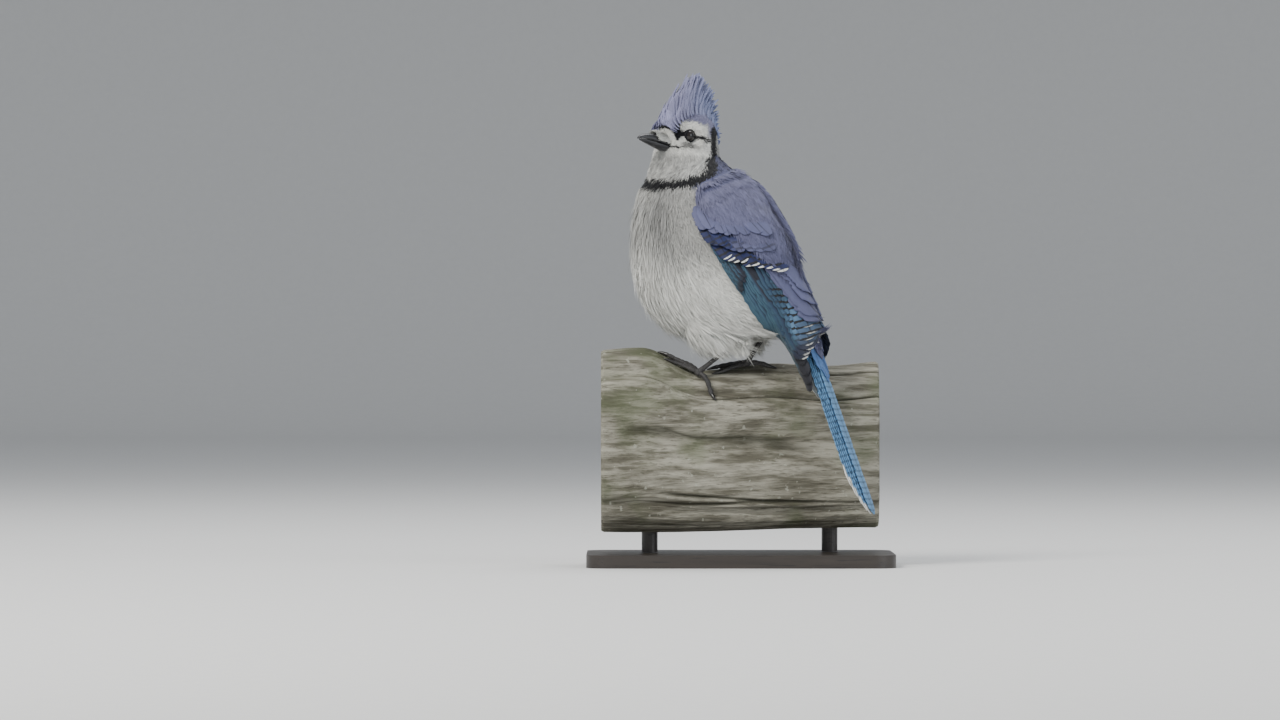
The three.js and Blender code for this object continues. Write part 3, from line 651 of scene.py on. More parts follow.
def stand_finish():
    """Ebonised wood: near black, with long grain under a satin varnish."""
    shader = Shader("stand_ebonised", coat_weight=0.25, coat_roughness=0.3)
    grain = shader.noise(300.0, 6.0, shader.mapped((0.06, 1, 1)), 0.6)
    pores = shader.step(shader.noise(1500.0, 3.0, shader.mapped((0.03, 1, 1))), 0.6, 0.7)
    colour = shader.mix(grain, (0.012, 0.010, 0.009), (0.050, 0.038, 0.030))
    colour = shader.mix(pores, colour, (0.004, 0.004, 0.004))
    return shader.finish(colour, 0.34 + 0.2 * grain, grain - pores * 0.6, 0.0001, 0.4)


def floor_finish():
    shader = Shader("studio_paper")
    fibre = shader.noise(90.0, 5.0)
    colour = shader.mix(fibre, (0.66, 0.66, 0.65), (0.70, 0.70, 0.69))
    return shader.finish(colour, 0.9, fibre, 0.0005, 0.1)


# Skin

# The coat's depth over the skin at sections of the body.
COAT_DEPTH = [(0, 0.8), (4, 0.8), (6, 1.2), (8, 1.8), (11, 2.3), (14, 2.2), (16.2, 1.8)]


def coat_depth(section):
    return np.interp(section, *zip(*COAT_DEPTH))


# The feathered thighs, from the flank down: forward, left, height and radius.
THIGHS = {
    "left": [
        (11, 12, 158, 13), (5, 12, 148.5, 14), (-4, 12, 145.5, 10.5), (-11, 12, 143.5, 6.5),
        (-17.5, 12, 141.5, 3),
    ],
    "right": [
        (4, -11, 158, 12), (-2, -11, 150, 13), (-11, -12, 147.5, 10.5), (-19, -12, 146.5, 6.5),
        (-26, -12, 147, 3.2),
    ],
}
THIGH_COAT = 1.2


def thigh_loft(name, rows):
    row = between(rows, np.linspace(0, len(rows) - 1, 20))
    path = bird(row[:, 0], row[:, 1], row[:, 2])
    return add_loft(name, tube_rings(path, row[:, 3] - THIGH_COAT, 28))


def sink_sockets(points):
    """Presses the skin in round each eye, so that the eye shows inside its lids."""
    forward, left, up = in_head(points)
    off = np.hypot(forward - EYE_PLACE[0], up - EYE_PLACE[2])
    near = 1 - smooth(off, 3.7, 6.0)
    deepest = EYE_PLACE[1] + 1.3
    pressed = np.sign(left) * np.minimum(np.abs(left), deepest)
    on_side = np.abs(left) > 6
    return head_point(forward, np.where(on_side, lerp(left, pressed, near), left), up)


def make_skin():
    """One closed skin from crown to rump with both thighs, lying inside the flesh by the coat's depth."""
    section = np.linspace(0, RUMP_SECTION, 110)[:, None]
    angle = np.linspace(0, 360, 84, endpoint=False)[None]
    body = add_loft("skin", body_point(section, angle, -coat_depth(section)))
    skin = joined("skin", [body] + [thigh_loft("thigh_" + name, rows) for name, rows in THIGHS.items()])
    finish_modifier(skin, "REMESH", mode="VOXEL", voxel_size=MM)
    finish_modifier(skin, "SMOOTH", factor=0.5, iterations=8)
    points = mesh_points(skin.data)
    skin.data.vertices.foreach_set("co", (sink_sockets(points) * MM).astype(np.float32).ravel())
    skin.data.update()
    return skin


def mesh_points(mesh):
    points = np.zeros(len(mesh.vertices) * 3, np.float32)
    mesh.vertices.foreach_get("co", points)
    return points.reshape(-1, 3).astype(float) / MM


def mesh_normals(mesh):
    normals = np.zeros(len(mesh.vertices) * 3, np.float32)
    mesh.vertices.foreach_get("normal", normals)
    return normals.reshape(-1, 3).astype(float)


# Markings

# The black collar, seen from the side: ahead of and above the head's middle, from nape to breast.
COLLAR_LINE = [
    (-26, 5), (-14, 4), (-9, 2), (-7.5, -4), (-6.5, -10), (-3, -16.5),
    (3, -22), (12, -27), (23, -30), (40, -31.5),
]


def off_line(x, y, line):
    """Distance of each point from a line of straight stretches, below zero on its left-hand side."""
    best = np.full(x.shape, 1e9)
    side = np.zeros(x.shape)
    for (ax, ay), (bx, by) in zip(line, line[1:]):
        dx, dy = bx - ax, by - ay
        share = np.clip(((x - ax) * dx + (y - ay) * dy) / (dx * dx + dy * dy), 0, 1)
        ox, oy = x - ax - share * dx, y - ay - share * dy
        off = np.hypot(ox, oy)
        nearer = off < best
        best = np.where(nearer, off, best)
        side = np.where(nearer, np.sign(dx * oy - dy * ox), side)
    return best * -side


def blob(x, y, middle, radii, soft=0.25):
    off = np.hypot((x - middle[0]) / radii[0], (y - middle[1]) / radii[1])
    return 1 - smooth(off, 1 - soft, 1 + soft)


def ripple(points, size):
    """A smooth wavering between -1 and 1 that keeps markings from having ruled edges."""
    x, y, z = (points / size).T
    first = np.sin(x + 1.7 * np.sin(y))
    second = np.sin(1.3 * y + 1.9 * np.sin(z))
    third = np.sin(0.9 * z + 1.4 * np.sin(x))
    return (first + second + third) / 3


def markings(points):
    """How black, white, blue and lavender the plumage is at each point."""
    section, angle, _ = unwrap(points)
    turn = np.abs(angle)
    forward, _, up = in_head(points)
    away = points - bird(HEAD_MIDDLE[0], 0, HEAD_MIDDLE[1])
    level, rise = away @ ahead(HEAD_YAW), away[:, 2]
    waver = ripple(points, 1.3)
    collar_off = off_line(level + 0.3 * waver, rise + 0.3 * waver, COLLAR_LINE)
    width = np.interp(level, [-14, -6, 0, 8, 25], [3.2, 3.2, 2.7, 2.4, 2.6])
    collar = 1 - smooth(np.abs(collar_off), width - 0.5, width + 0.6)
    in_face = smooth(-collar_off, 0, 1.0)
    crown = smooth(up + 0.7 * waver, 5.4 - 0.12 * forward, 8.2 - 0.12 * forward)
    behind = smooth(-forward, 0, 7) * smooth(up, -2.5, 1.5)
    crown = np.maximum(crown, behind) * in_face
    brow = blob(forward, up, (8, 4.6), (8.5, 3.0)) * in_face
    lore_half = np.interp(up, [-6.5, -3, -1, 2, 5, 7], [0.2, 1.9, 2.5, 1.9, 1.1, 0.2])
    lore = 1 - smooth(np.abs(forward - 16.2 + 0.7 * waver - 0.12 * up), lore_half - 0.3, lore_half + 0.5)
    lore = lore * smooth(up, -6.5, -5.5) * smooth(7 - up, 0, 1)
    lore = np.maximum(lore, blob(forward, up, (13.0, -1.2), (3.4, 1.9), 0.3))
    frontal = blob(forward, up, (18.9, 3.6), (3.2, 1.5), 0.3)
    stripe = (1 - smooth(np.abs(up + 1.9 + 0.10 * (4 - forward)), 0.8, 1.5)) * smooth(5.6 - forward, 0, 1.2)
    under = 0.75 * blob(forward, up, (9.4, -7.4), (4.2, 1.6), 0.4)
    mouth = (1 - smooth(np.abs(up + 9.6), 0.35, 0.75)) * smooth(forward, 10, 12)
    black = np.maximum.reduce([collar, in_face * np.maximum.reduce([lore, frontal, stripe, under, mouth])])
    black = black * (1 - smooth(section, 10.5, 11.5))
    mottle = 0.5 + 0.5 * ripple(points, 0.8)
    throat = smooth(-up, 11, 17) * in_face
    white_face = in_face * (1 - crown) * (1 - 0.62 * throat * (0.4 + 0.9 * mottle)) * (1 - 0.18 * mottle)
    white_face = np.maximum(white_face, brow)
    crown = crown * (1 - brow)
    body = 1 - in_face
    breast_u = (points - bird(0, 0, 0)) @ ahead(BODY_YAW)
    height = points[:, 2]
    # The grey on the upper breast is partly the bird's own grey wash and partly painted shade.
    breast_grey_and_shade = blob(breast_u, height, (44, 214), (20, 20), 0.7) * (1 - smooth(turn, 60, 95))
    # The grey where the flank meets the wing's front edge is partly the bird's grey flank and partly painted
    # shade along the wing.
    flank = smooth(turn, 48, 80) * smooth(height, 172, 196)
    start = np.interp(section, [6, 11, 13, 16], [98, 104, 128, 140])
    back = smooth(turn + 6 * ripple(points, 5), start, start + 16) * smooth(section, 6.2, 7.2)
    back = np.maximum(back, smooth(-forward, 12, 16) * smooth(section, 6, 7) * smooth(9.5 - section, 0, 1))
    back = back * np.maximum(smooth(height, 138, 152), smooth(-breast_u, 28, 36))
    white_body = np.clip(0.98 - 0.50 * breast_grey_and_shade - 0.66 * flank, 0, 1) * (0.88 + 0.12 * mottle)
    white_body = white_body * (1 - 0.12 * smooth(height, 200, 240))
    white = in_face * white_face + body * white_body
    blue = body * back
    return np.stack([black, *(np.clip(v, 0, 1) for v in (white, blue, crown * 0.95))], -1)


# Coat

def surface_samples(mesh, density):
    """Seeded points over a mesh, so many to the square millimetre, with the normal at each."""
    mesh.calc_loop_triangles()
    triangles = np.zeros(len(mesh.loop_triangles) * 3, np.int32)
    mesh.loop_triangles.foreach_get("vertices", triangles)
    triangles = triangles.reshape(-1, 3)
    points, normals = mesh_points(mesh), mesh_normals(mesh)
    a, b, c = (points[triangles[:, k]] for k in range(3))
    area = np.linalg.norm(np.cross(b - a, c - a), axis=1) / 2
    weight = np.cumsum(area * density((a + b + c) / 3))
    count = int(weight[-1])
    picked = np.searchsorted(weight, (np.arange(count) + random.random(count)) / count * weight[-1])
    picked = np.minimum(picked, len(triangles) - 1)
    r = np.sqrt(random.random(count))
    s = random.random(count)
    shares = np.stack([1 - r, r * (1 - s), r * s], -1)
    chosen = triangles[picked]
    at = np.sum(points[chosen] * shares[..., None], 1)
    facing = unit(np.sum(normals[chosen] * shares[..., None], 1))
    return at, facing


def coat_density(points):
    """Tufts to the square millimetre: closest on the face, sparse where the folded wings hide them."""
    section, angle, _ = unwrap(points)
    turn = np.abs(angle)
    even = np.interp(section, [0, 5, 7, 9, 16.2], [2.1, 1.9, 1.15, 0.63, 0.56])
    under_wing = smooth(turn, 96, 104) * smooth(150 - turn, 0, 8)
    hidden = under_wing * smooth(section, 8.6, 9.4) * smooth(15 - section, 0, 0.6)
    forward, _, up = in_head(points)
    eye = np.hypot(forward - EYE_PLACE[0], up - EYE_PLACE[2])
    bill = smooth(forward, 19.5, 20.5) * smooth(-up, 1.0, 2.5) * smooth(15.5 + up, 0, 1.5)
    return even * (1 - 0.94 * hidden) * smooth(eye, 3.2, 3.6) * (1 - bill)


def lie_of(points, normals, section, angle, ratio):
    """The way the coat lies: back from the bill over the head, then down the body, and down each thigh."""
    down_body = unit(body_point(section + 0.15, angle) - body_point(np.maximum(section - 0.15, 0), angle))
    forward, left, up = in_head(points)
    aside = 0.25 * np.sign(left) * smooth(np.abs(left), 0, 6)
    from_bill = unit(np.stack([-1 + 0 * forward, aside, -0.25 + 0.05 * up], -1))
    over_head = (
        scaled(head_way(1, 0, 0), from_bill[:, 0])
        + scaled(head_way(0, 1, 0), from_bill[:, 1])
        + scaled(head_way(0, 0, 1), from_bill[:, 2])
    )
    share = smooth(section, 5.0, 7.6)[:, None]
    lie = over_head * (1 - share) + down_body * share
    on_thigh = (smooth(ratio, 1.02, 1.12) * smooth(section, 11, 12.5))[:, None]
    leg_way = unit(bird(-22, 0, -30) - bird(0, 0, 0))
    lie = lie * (1 - on_thigh) + leg_way * on_thigh
    return along_surface(lie, normals)


def along_surface(lie, normals):
    return unit(lie - normals * np.sum(lie * normals, -1, keepdims=True))


def body_cell(section, angle):
    """Where a root lies on the map OFBake: round the body, and from its crown to its rump."""
    return np.stack([(angle % 360) / 360, section / RUMP_SECTION], -1) * 0.99


# A blade is three pairs of corners and a tip: how far along it each pair lies, how wide it is there, and the
# corners' places on the blade's patch.
BLADE_SHARES = [0.0, 0.45, 0.8]
BLADE_WIDTHS = [0.55, 1.0, 0.7]
BLADE_PATCH = [[0, 0], [1, 0], [0, 0.5], [1, 0.5], [0, 0.8], [1, 0.8], [0.5, 1]]


def make_tufts(name, at, normals, lie, length, wide, lift, fan, bend, blades, marks, cell):
    """Fans of thin tapered blades, one fan at each root, as one mesh with its maps and attributes."""
    count = len(at)
    side = np.cross(normals, lie)
    k = np.linspace(-1, 1, blades)[None, :]
    jitter = random.normal(0, 1, (count, blades, 4))
    aim = np.radians(fan[:, None] * (k + 0.25 * jitter[..., 0]))
    reach = length[:, None] * (1 - 0.22 * k * k + 0.10 * jitter[..., 1])
    top = lift[:, None] * (0.85 + 0.25 * jitter[..., 2])
    way = lie[:, None] * np.cos(aim)[..., None] + side[:, None] * np.sin(aim)[..., None]
    start = at[:, None] + side[:, None] * (k * wide[:, None] * 1.2)[..., None] - normals[:, None] * 0.35

    def spine(t):
        along = reach * t
        rise = top * t ** 0.75 - along * along * bend[:, None] / 2
        return start + way * along[..., None] + normals[:, None] * rise[..., None]

    across = np.cross(normals[:, None] + 0.35 * jitter[..., 3:4] * side[:, None], way)
    across = unit(across)
    rows = []
    for t, width in zip(BLADE_SHARES, BLADE_WIDTHS):
        half = (wide[:, None] * width / 2)[..., None]
        middle = spine(t)
        rows += [middle - across * half, middle + across * half]
    rows.append(spine(1.0))
    points = np.stack(rows, 2)
    corners = points.shape[2]
    flat = points.reshape(-1, 3)
    base = np.arange(count * blades)[:, None] * corners
    quads = np.concatenate([base + [0, 1, 3, 2], base + [2, 3, 5, 4]])
    tips = base + [4, 5, 6]
    piece = add_mesh(name, flat, [quads, tips])
    per_tuft = blades * corners
    add_values(piece, "marks", np.repeat(marks, per_tuft, 0))
    along = np.tile([*np.repeat(BLADE_SHARES, 2), 1.0], count * blades)
    tone = np.repeat(np.clip(0.5 + 0.22 * random.normal(0, 1, count), 0, 1), per_tuft)
    tone = np.clip(tone + np.repeat(0.12 * jitter[..., 0].ravel(), corners), 0, 1)
    add_values(piece, "strand", np.stack([tone, along, along, along], -1))
    patch = np.tile(np.array(BLADE_PATCH) * PATCH, (count * blades, 1))
    add_map(piece, "OFBake", np.repeat(cell, per_tuft, 0) + patch)
    return piece


BLADES = 8
TRIANGLES_PER_TUFT = BLADES * 5
LARGEST_PIECE = 190000


def make_coat(skin, material):
    """The body's small feathers, in pieces from the crown down, each under LARGEST_PIECE triangles."""
    at, normals = surface_samples(skin.data, coat_density)
    section, angle, ratio = unwrap(at)
    order = np.argsort(section)
    at, normals, section, angle, ratio = (v[order] for v in (at, normals, section, angle, ratio))
    forward = in_head(at)[0]
    turn = np.abs(angle)
    front = 1 - smooth(turn, 70, 110)
    near_bill = smooth(forward, 4, 20) * (1 - smooth(section, 5.4, 6.6))
    length = np.interp(section, [0, 3, 5, 7, 9, 12, 16.2], [3.6, 3.4, 4.4, 7.0, 9.0, 11.5, 12.0])
    length = length * (1 - 0.5 * near_bill) * random.uniform(0.8, 1.2, len(at))
    wide = np.interp(section, [0, 5, 8, 16.2], [0.30, 0.34, 0.42, 0.46]) * (1 - 0.3 * near_bill)
    wide = wide * lerp(1.25, 0.85, front)
    lift = coat_depth(section) * lerp(0.75, 1.25, front) * random.uniform(0.7, 1.25, len(at))
    lift = lift + 1.6 * smooth(section, 11, 14) * front * random.random(len(at))
    fan = np.interp(section, [0, 6, 9], [13, 16, 20]) * random.uniform(0.8, 1.3, len(at))
    bend = np.interp(section, [0, 4, 7, 10, 16.2], [0.075, 0.062, 0.045, 0.028, 0.035])
    lie = lie_of(at, normals, section, angle, ratio)
    tilt = np.radians(random.normal(0, 7, len(at)))
    side = np.cross(normals, lie)
    lie = lie * np.cos(tilt)[:, None] + side * np.sin(tilt)[:, None]
    marks = markings(at + normals * 0.8 + lie * length[:, None] * 0.45)
    cell = body_cell(section, angle)
    pieces = max(1, math.ceil(len(at) * TRIANGLES_PER_TUFT / LARGEST_PIECE))
    for k, chosen in enumerate(np.array_split(np.arange(len(at)), pieces)):
        made = make_tufts(
            f"coat_{k + 1}", at[chosen], normals[chosen], lie[chosen], length[chosen], wide[chosen],
            lift[chosen], fan[chosen], bend[chosen], BLADES, marks[chosen], cell[chosen],
        )
        place_piece(made, material, "face" if k == 0 else "breast")
    make_locks(skin, material)


def lock_density(points):
    section, angle, _ = unwrap(points)
    below_collar = 0.19 * smooth(section, 7.6, 9)
    return below_collar * (1 - smooth(section, 14.5, 15.5)) * (1 - smooth(np.abs(angle), 60, 85))


def make_locks(skin, material):
    """Longer pointed locks that stand out from the breast and belly and make their edge ragged."""
    at, normals = surface_samples(skin.data, lock_density)
    section, angle, ratio = unwrap(at)
    lie = lie_of(at, normals, section, angle, ratio)
    size = random.uniform(0.7, 1.3, len(at))
    even = np.ones(len(at))
    cell = body_cell(section, angle)
    lift = (coat_depth(section) + 2.4 + 1.6 * smooth(section, 10, 13)) * size
    marks = markings(at + normals + lie * 6 * size[:, None])
    made = make_tufts(
        "breast_locks", at, normals, lie, 16.5 * size, 0.36 * even, lift, 6.0 * even, 0.022 * even,
        BLADES, marks, cell,
    )
    place_piece(made, material, "breast")


# Large feathers

def vane_grid(count, rows, columns, blunt, narrow_root=0.45):
    """Shares along and across each of a number of feathers, rounded off at the tip, with nibbled edges."""
    share = np.linspace(0, 1, rows) ** 0.9
    rounding = np.sqrt(1 - (0.985 * np.clip((share - blunt) / (1 - blunt), 0, 1)) ** 2)
    outline = np.minimum(1, narrow_root + 2.4 * share) * rounding
    across = np.linspace(-1, 1, columns)
    share = np.broadcast_to(share[None, :, None], (count, rows, columns))
    across = across[None, None, :] * outline[None, :, None] * np.ones((count, rows, columns))
    nibble = 1 - 0.30 * random.random((count, rows, 2)) ** 5
    across[..., 0] *= nibble[..., 0]
    across[..., -1] *= nibble[..., 1]
    return share, across


def add_vanes(name, points, share, across, paint, tints, thickness, ribbed=1.0):
    """Sheets of points, one for each feather, as one mesh of thin vanes with its maps and attributes."""
    count, rows, columns = share.shape
    one = grid_faces(rows, columns)
    quads = (np.arange(count)[:, None, None] * rows * columns + one).reshape(-1, 4)
    piece = add_mesh(name, points.reshape(-1, 3), [quads])
    add_values(piece, "paint", np.repeat(paint, rows * columns, 0))
    colours = np.broadcast_to(tints if tints.ndim == 4 else tints[:, None, None], (count, rows, columns, 3))
    colours = np.concatenate([colours, np.full((count, rows, columns, 1), ribbed)], -1)
    add_values(piece, "tint", colours.reshape(-1, 4))
    flat_across = np.linspace(0, 1, columns)[None, None, :] * np.ones(share.shape)
    add_map(piece, "vane", np.stack([flat_across, share], -1).reshape(-1, 2))
    cells = math.ceil(math.sqrt(count))
    number = np.arange(count)[:, None, None]
    u = ((number % cells) + 0.05 + 0.9 * flat_across) / cells
    v = ((number // cells) + 0.05 + 0.9 * share) / cells
    add_map(piece, "OFBake", np.stack([u, v], -1).reshape(-1, 2))
    finish_modifier(piece, "SOLIDIFY", thickness=thickness * MM, offset=0.0)
    return piece


# Rows of wing feathers, from the lowest feather up. Roots and tips are places on the flank, along and up,
# that the row runs through. Half is half a feather's width, rise its height at root and tip, step what each
# feather adds, lean its slope like a shingle's and blunt where its tip starts to round off. Tints are those
# of the root, of a low feather's end and of a high one's; bars are for the lowest and the uppermost feather.
WING_ROWS = [
    {"name": "primaries", "count": 9, "half": 3.4, "rise": (1.1, 1.6), "step": 0.30, "lean": 0.20,
     "blunt": 0.90, "roots": [(38, -4), (46, 4)],
     "tips": [(118, -3.2), (127, -2.0), (133, -0.6), (129, 1.6), (121, 4), (111, 6.6)],
     "tints": [DEEP_BLUE, TEAL, DUSK], "bars": (0.0, 0.0), "white": 0.0, "dark": 1.0},
    # The secondaries' deep blue at the root and at the lower feathers' ends is painted shade: their bases,
    # blue with fine black bars, lie in shadow under the coverts' white tips.
    {"name": "secondaries", "count": 7, "half": 4.4, "rise": (2.2, 4.8), "step": 0.10, "lean": 0.24,
     "blunt": 0.90, "roots": [(46, 4), (52, 15)],
     "tips": [(114, 7.0), (111, 9.6), (105, 12), (97, 14.2)],
     "tints": [DEEP_BLUE, DEEP_BLUE, PALE_BLUE], "bars": (0.1, 1.0), "white": 0.010, "dark": 0.6},
    {"name": "tertials", "count": 4, "half": 5.0, "rise": (2.6, 6.0), "step": 0.15, "lean": 0.20,
     "blunt": 0.80, "roots": [(46, 15), (48, 21)],
     "tips": [(95, 15.5), (90, 18), (80, 21)],
     "tints": [MANTLE, MANTLE, MANTLE], "bars": (0.0, 0.0), "white": 0.0, "dark": 0.0},
    {"name": "primary_coverts", "count": 7, "half": 1.9, "rise": (1.6, 3.6), "step": 0.06, "lean": 0.20,
     "blunt": 0.60, "roots": [(20, -5), (29, 0)],
     "tips": [(61, -6), (58, -3), (54, 0)],
     "tints": [DEEP_BLUE, TEAL, DEEP_BLUE], "bars": (0.4, 0.4), "white": 0.0, "dark": 0.8},
    {"name": "greater_coverts", "count": 10, "half": 3.9, "rise": (1.8, 5.2), "step": 0.06, "lean": 0.20,
     "blunt": 0.80, "roots": [(22, -3), (38, 18)],
     "tips": [(40, -1.0), (47, 4), (54, 10), (61, 17)],
     "tints": [WING_BLUE, WING_BLUE, WING_BLUE], "bars": (0.9, 1.0), "white": 0.060, "dark": 0.0},
    {"name": "median_coverts", "count": 9, "half": 4.0, "rise": (1.8, 5.3), "step": 0.06, "lean": 0.20,
     "blunt": 0.66, "roots": [(8, -4), (26, 17)],
     "tips": [(27, -4), (34, 1), (41, 8), (48, 18)],
     "tints": [WING_BLUE, WING_BLUE, MANTLE], "bars": (0.7, 0.5), "white": 0.0, "dark": 0.0},
    {"name": "lesser_coverts", "count": 9, "half": 4.2, "rise": (1.5, 5.1), "step": 0.06, "lean": 0.20,
     "blunt": 0.55, "roots": [(0, -3), (15, 19)],
     "tips": [(17, -4), (24, 2), (30, 10), (38, 21)],
     "tints": [MANTLE, MANTLE, MANTLE], "bars": (0.0, 0.0), "white": 0.0, "dark": 0.0},
]
VANE_THICKNESS = 0.22


def wing_row(row, side):
    count = row["count"]
    k = np.arange(count)
    t = k / (count - 1)
    root = between(row["roots"], t * (len(row["roots"]) - 1))
    tip = between(row["tips"], t * (len(row["tips"]) - 1)) + random.normal(0, 0.5, (count, 2))
    run = tip - root
    length = np.linalg.norm(run, axis=1)
    share, across = vane_grid(count, 30, 9, row["blunt"])
    aside = across * row["half"]
    along = root[:, 0][EACH] + run[:, 0][EACH] * share - (run[:, 1] / length)[EACH] * aside
    up = root[:, 1][EACH] + run[:, 1][EACH] * share + (run[:, 0] / length)[EACH] * aside
    rise = lerp(row["rise"][0], row["rise"][1], share) + (row["step"] * k)[EACH] - aside * row["lean"]
    rise = rise + 0.5 * (1 - across * across) * share
    points = on_flank(along, up, rise, side)
    base, low_edge, end = (np.array(colour) for colour in row["tints"])
    outer = smooth(share, 0.45, 0.75)[..., None] * smooth(t, 0.35, 0.7)[:, None, None, None]
    tints = base + (low_edge - base) * smooth(share, 0.3, 0.6)[..., None] + (end - low_edge) * outer
    tints = tints * random.uniform(0.88, 1.12, (count, 1, 1, 1))
    bars = lerp(row["bars"][0], row["bars"][1], smooth(t, 0.3, 0.7))
    paint = np.stack([bars, 0 * t + row["white"], 0 * t + row["dark"], length / 100], -1)
    name = f"{row['name']}_{side_name(side)}"
    return add_vanes(name, points, share, across, paint, tints, VANE_THICKNESS)


# The arm that the wing's feathers grow from: along, lower edge, upper edge and thickness.
SHIELD = [
    (-12, 4, 20, 0.8), (4, -4, 24, 2.2), (16, -5.6, 26, 2.8), (30, -6.4, 26, 3.0), (44, -5.6, 24, 2.8),
    (56, -4, 19, 2.2), (66, -1, 15, 1.0),
]
UNDER_SKIN = -2.0  # how deep the inner faces of the arm and the mantle lie


def plain_blue(piece, tone):
    """Marks a whole piece as mantle blue, with one tone."""
    count = len(piece.data.vertices)
    add_values(piece, "marks", np.tile([0.0, 0.0, 1.0, 0.0], (count, 1)))
    add_values(piece, "strand", np.full((count, 4), tone))


def flank_shell(name, outline, rows, columns, side, height):
    """A closed shell over the flank between the lower and upper edges of an outline."""
    places = between(outline, np.linspace(0, len(outline) - 1, rows))
    along, low, high, thick = (v[:, None] for v in places.T)
    t = np.linspace(0, 1, columns)[None]
    over = on_flank(along + 0 * t, lerp(low, high, t), height(along, thick, t), side)
    under = on_flank(along + 0 * t, lerp(low, high, t), UNDER_SKIN + 0 * t * along, side)
    return add_loft(name, np.concatenate([over, under[:, ::-1]], 1))


def wing_arm(side):
    def height(along, thick, t):
        return thick * (0.2 + 0.8 * np.sqrt(np.maximum(0, np.sin(math.pi * t))))

    piece = flank_shell(f"arm_{side_name(side)}", SHIELD, 40, 28, side, height)
    plain_blue(piece, 0.5)
    return piece


# The mantle and shoulder, whose soft feathers flow over the roots of the wing's: along, lower edge, upper
# edge and height.
CAPE = [
    (-13, 3, 25, 0.8), (-7, -1, 28, 3.2), (0, -2, 29, 4.6), (8, -1, 30, 5.6), (20, 4, 30, 6.2),
    (33, 9, 30, 6.8), (43, 12, 29, 7.0), (57, 13, 28, 6.8), (72, 15.5, 26, 6.4), (88, 17, 23, 5.4),
]
CAPE_DENSITY = 0.62  # tufts to the square millimetre


def make_cape(side, materials):
    def height(along, thick, t):
        crown = np.minimum(1, 2.6 * np.sqrt(np.maximum(0, np.sin(math.pi * t))) ** 1.6)
        crown = crown * (1 - 0.55 * t ** 2)
        fade = smooth(along, -13, -3) * smooth(98 - along, 0, 24)
        return 0.2 + (thick - 1.8) * crown * fade

    name = side_name(side)
    cape = flank_shell(f"cape_{name}", CAPE, 90, 34, side, height)
    plain_blue(cape, 0.4)
    place_piece(cape, materials["coat"], "wing", f"wing_{name}")
    mantle = mantle_tufts(cape, side)
    place_piece(mantle, materials["coat"], "wing", f"wing_{name}")


def mantle_tufts(cape, side):
    """Soft tufts over the cape's outer face."""
    at, facing = surface_samples(cape.data, lambda points: CAPE_DENSITY + 0 * points[:, 0])
    outward = (at - bird(-20, 0, 195)) @ left_of(BODY_YAW) * side > -4
    above = np.sum(facing * unit(at - bird(-18, 0, 190)), -1) > 0.1
    at, facing = at[outward & above], facing[outward & above]
    count = len(at)
    section, angle, _ = unwrap(at)
    lie = unit(bird(-math.cos(WING_AIM), 0, -math.sin(WING_AIM)) - bird(0, 0, 0))
    lie = unit(lie - facing * (facing @ lie)[:, None])
    patch = smooth(ripple(at, 4.5), 0.1, 0.8)
    lavender = 0.16 + 0.30 * smooth(at[:, 2], 175, 240)
    marks = np.stack([0 * patch, 0.25 * patch, 0.97 - 0.10 * patch, lavender], -1)
    size = np.ones(count)
    jitter = random.uniform(0.75, 1.25, count)
    return make_tufts(
        f"mantle_{side_name(side)}", at, facing, lie, 9.5 * jitter, 0.55 * size, 0.9 * jitter, 15 * size,
        0.026 * size, BLADES, marks, body_cell(section, angle),
    )


def make_wings(materials):
    for side, name in ((1, "left"), (-1, "right")):
        make_cape(side, materials)
        for row in WING_ROWS:
            made = wing_row(row, side)
            place_piece(made, materials["wing"], "wing", f"wing_{name}")
        place_piece(wing_arm(side), materials["coat"], "wing", f"wing_{name}")


TAIL_PAIRS = 6


def make_tail(materials):
    """Twelve tail feathers with the middle pair on top, and the coverts over and under their roots."""
    share, across = vane_grid(2 * TAIL_PAIRS, 60, 11, 0.90, 0.5)
    pair = np.repeat(np.arange(TAIL_PAIRS), 2)
    side = np.tile([1, -1], TAIL_PAIRS)
    half = (6.2 - 0.12 * pair)[EACH]
    aside = side[EACH] * across * half
    outward = lerp((0.6 + 0.7 * pair)[EACH], (1 + 1.6 * pair)[EACH], share) + side[EACH] * aside
    outward = np.where(pair[EACH] > 0, np.maximum(outward, 0.2), outward)
    below = 0.75 * np.where(pair > 0, pair + 1, np.where(side < 0, 1, 0))
    length = TAIL_LENGTH - 0.75 * pair ** 2
    out = 0.4 - below[EACH] + 0.35 * (1 - across * across)
    points = tail_point(-2 + (length[EACH] + 2) * share, side[EACH] * outward, out)
    tints = np.array(TAIL_BLUE) * random.uniform(0.9, 1.15, (2 * TAIL_PAIRS, 1))
    white = np.where(pair > 0, 0.03 + 0.022 * pair, 0.0)
    paint = np.stack([0 * pair + 0.45, white, 0.2 + 0 * pair, length / 100], -1)
    main = add_vanes("tail_feathers", points, share, across, paint, tints, 0.3)
    place_piece(main, materials["tail"], "tail", "tail")
    tail_coverts("coverts_over_tail", 1.4, 1, 38, SKY_BLUE, materials["tail"], 0.1)
    tail_coverts("coverts_over_rump", 2.6, 1, 24, MANTLE, materials["tail"], 0.0)
    tail_coverts("coverts_under_tail", -6.6, -1, 48, WHITE, materials["tail"], 0.0)
    tail_coverts("coverts_under_rump", -7.8, -1, 30, WHITE, materials["tail"], 0.0)


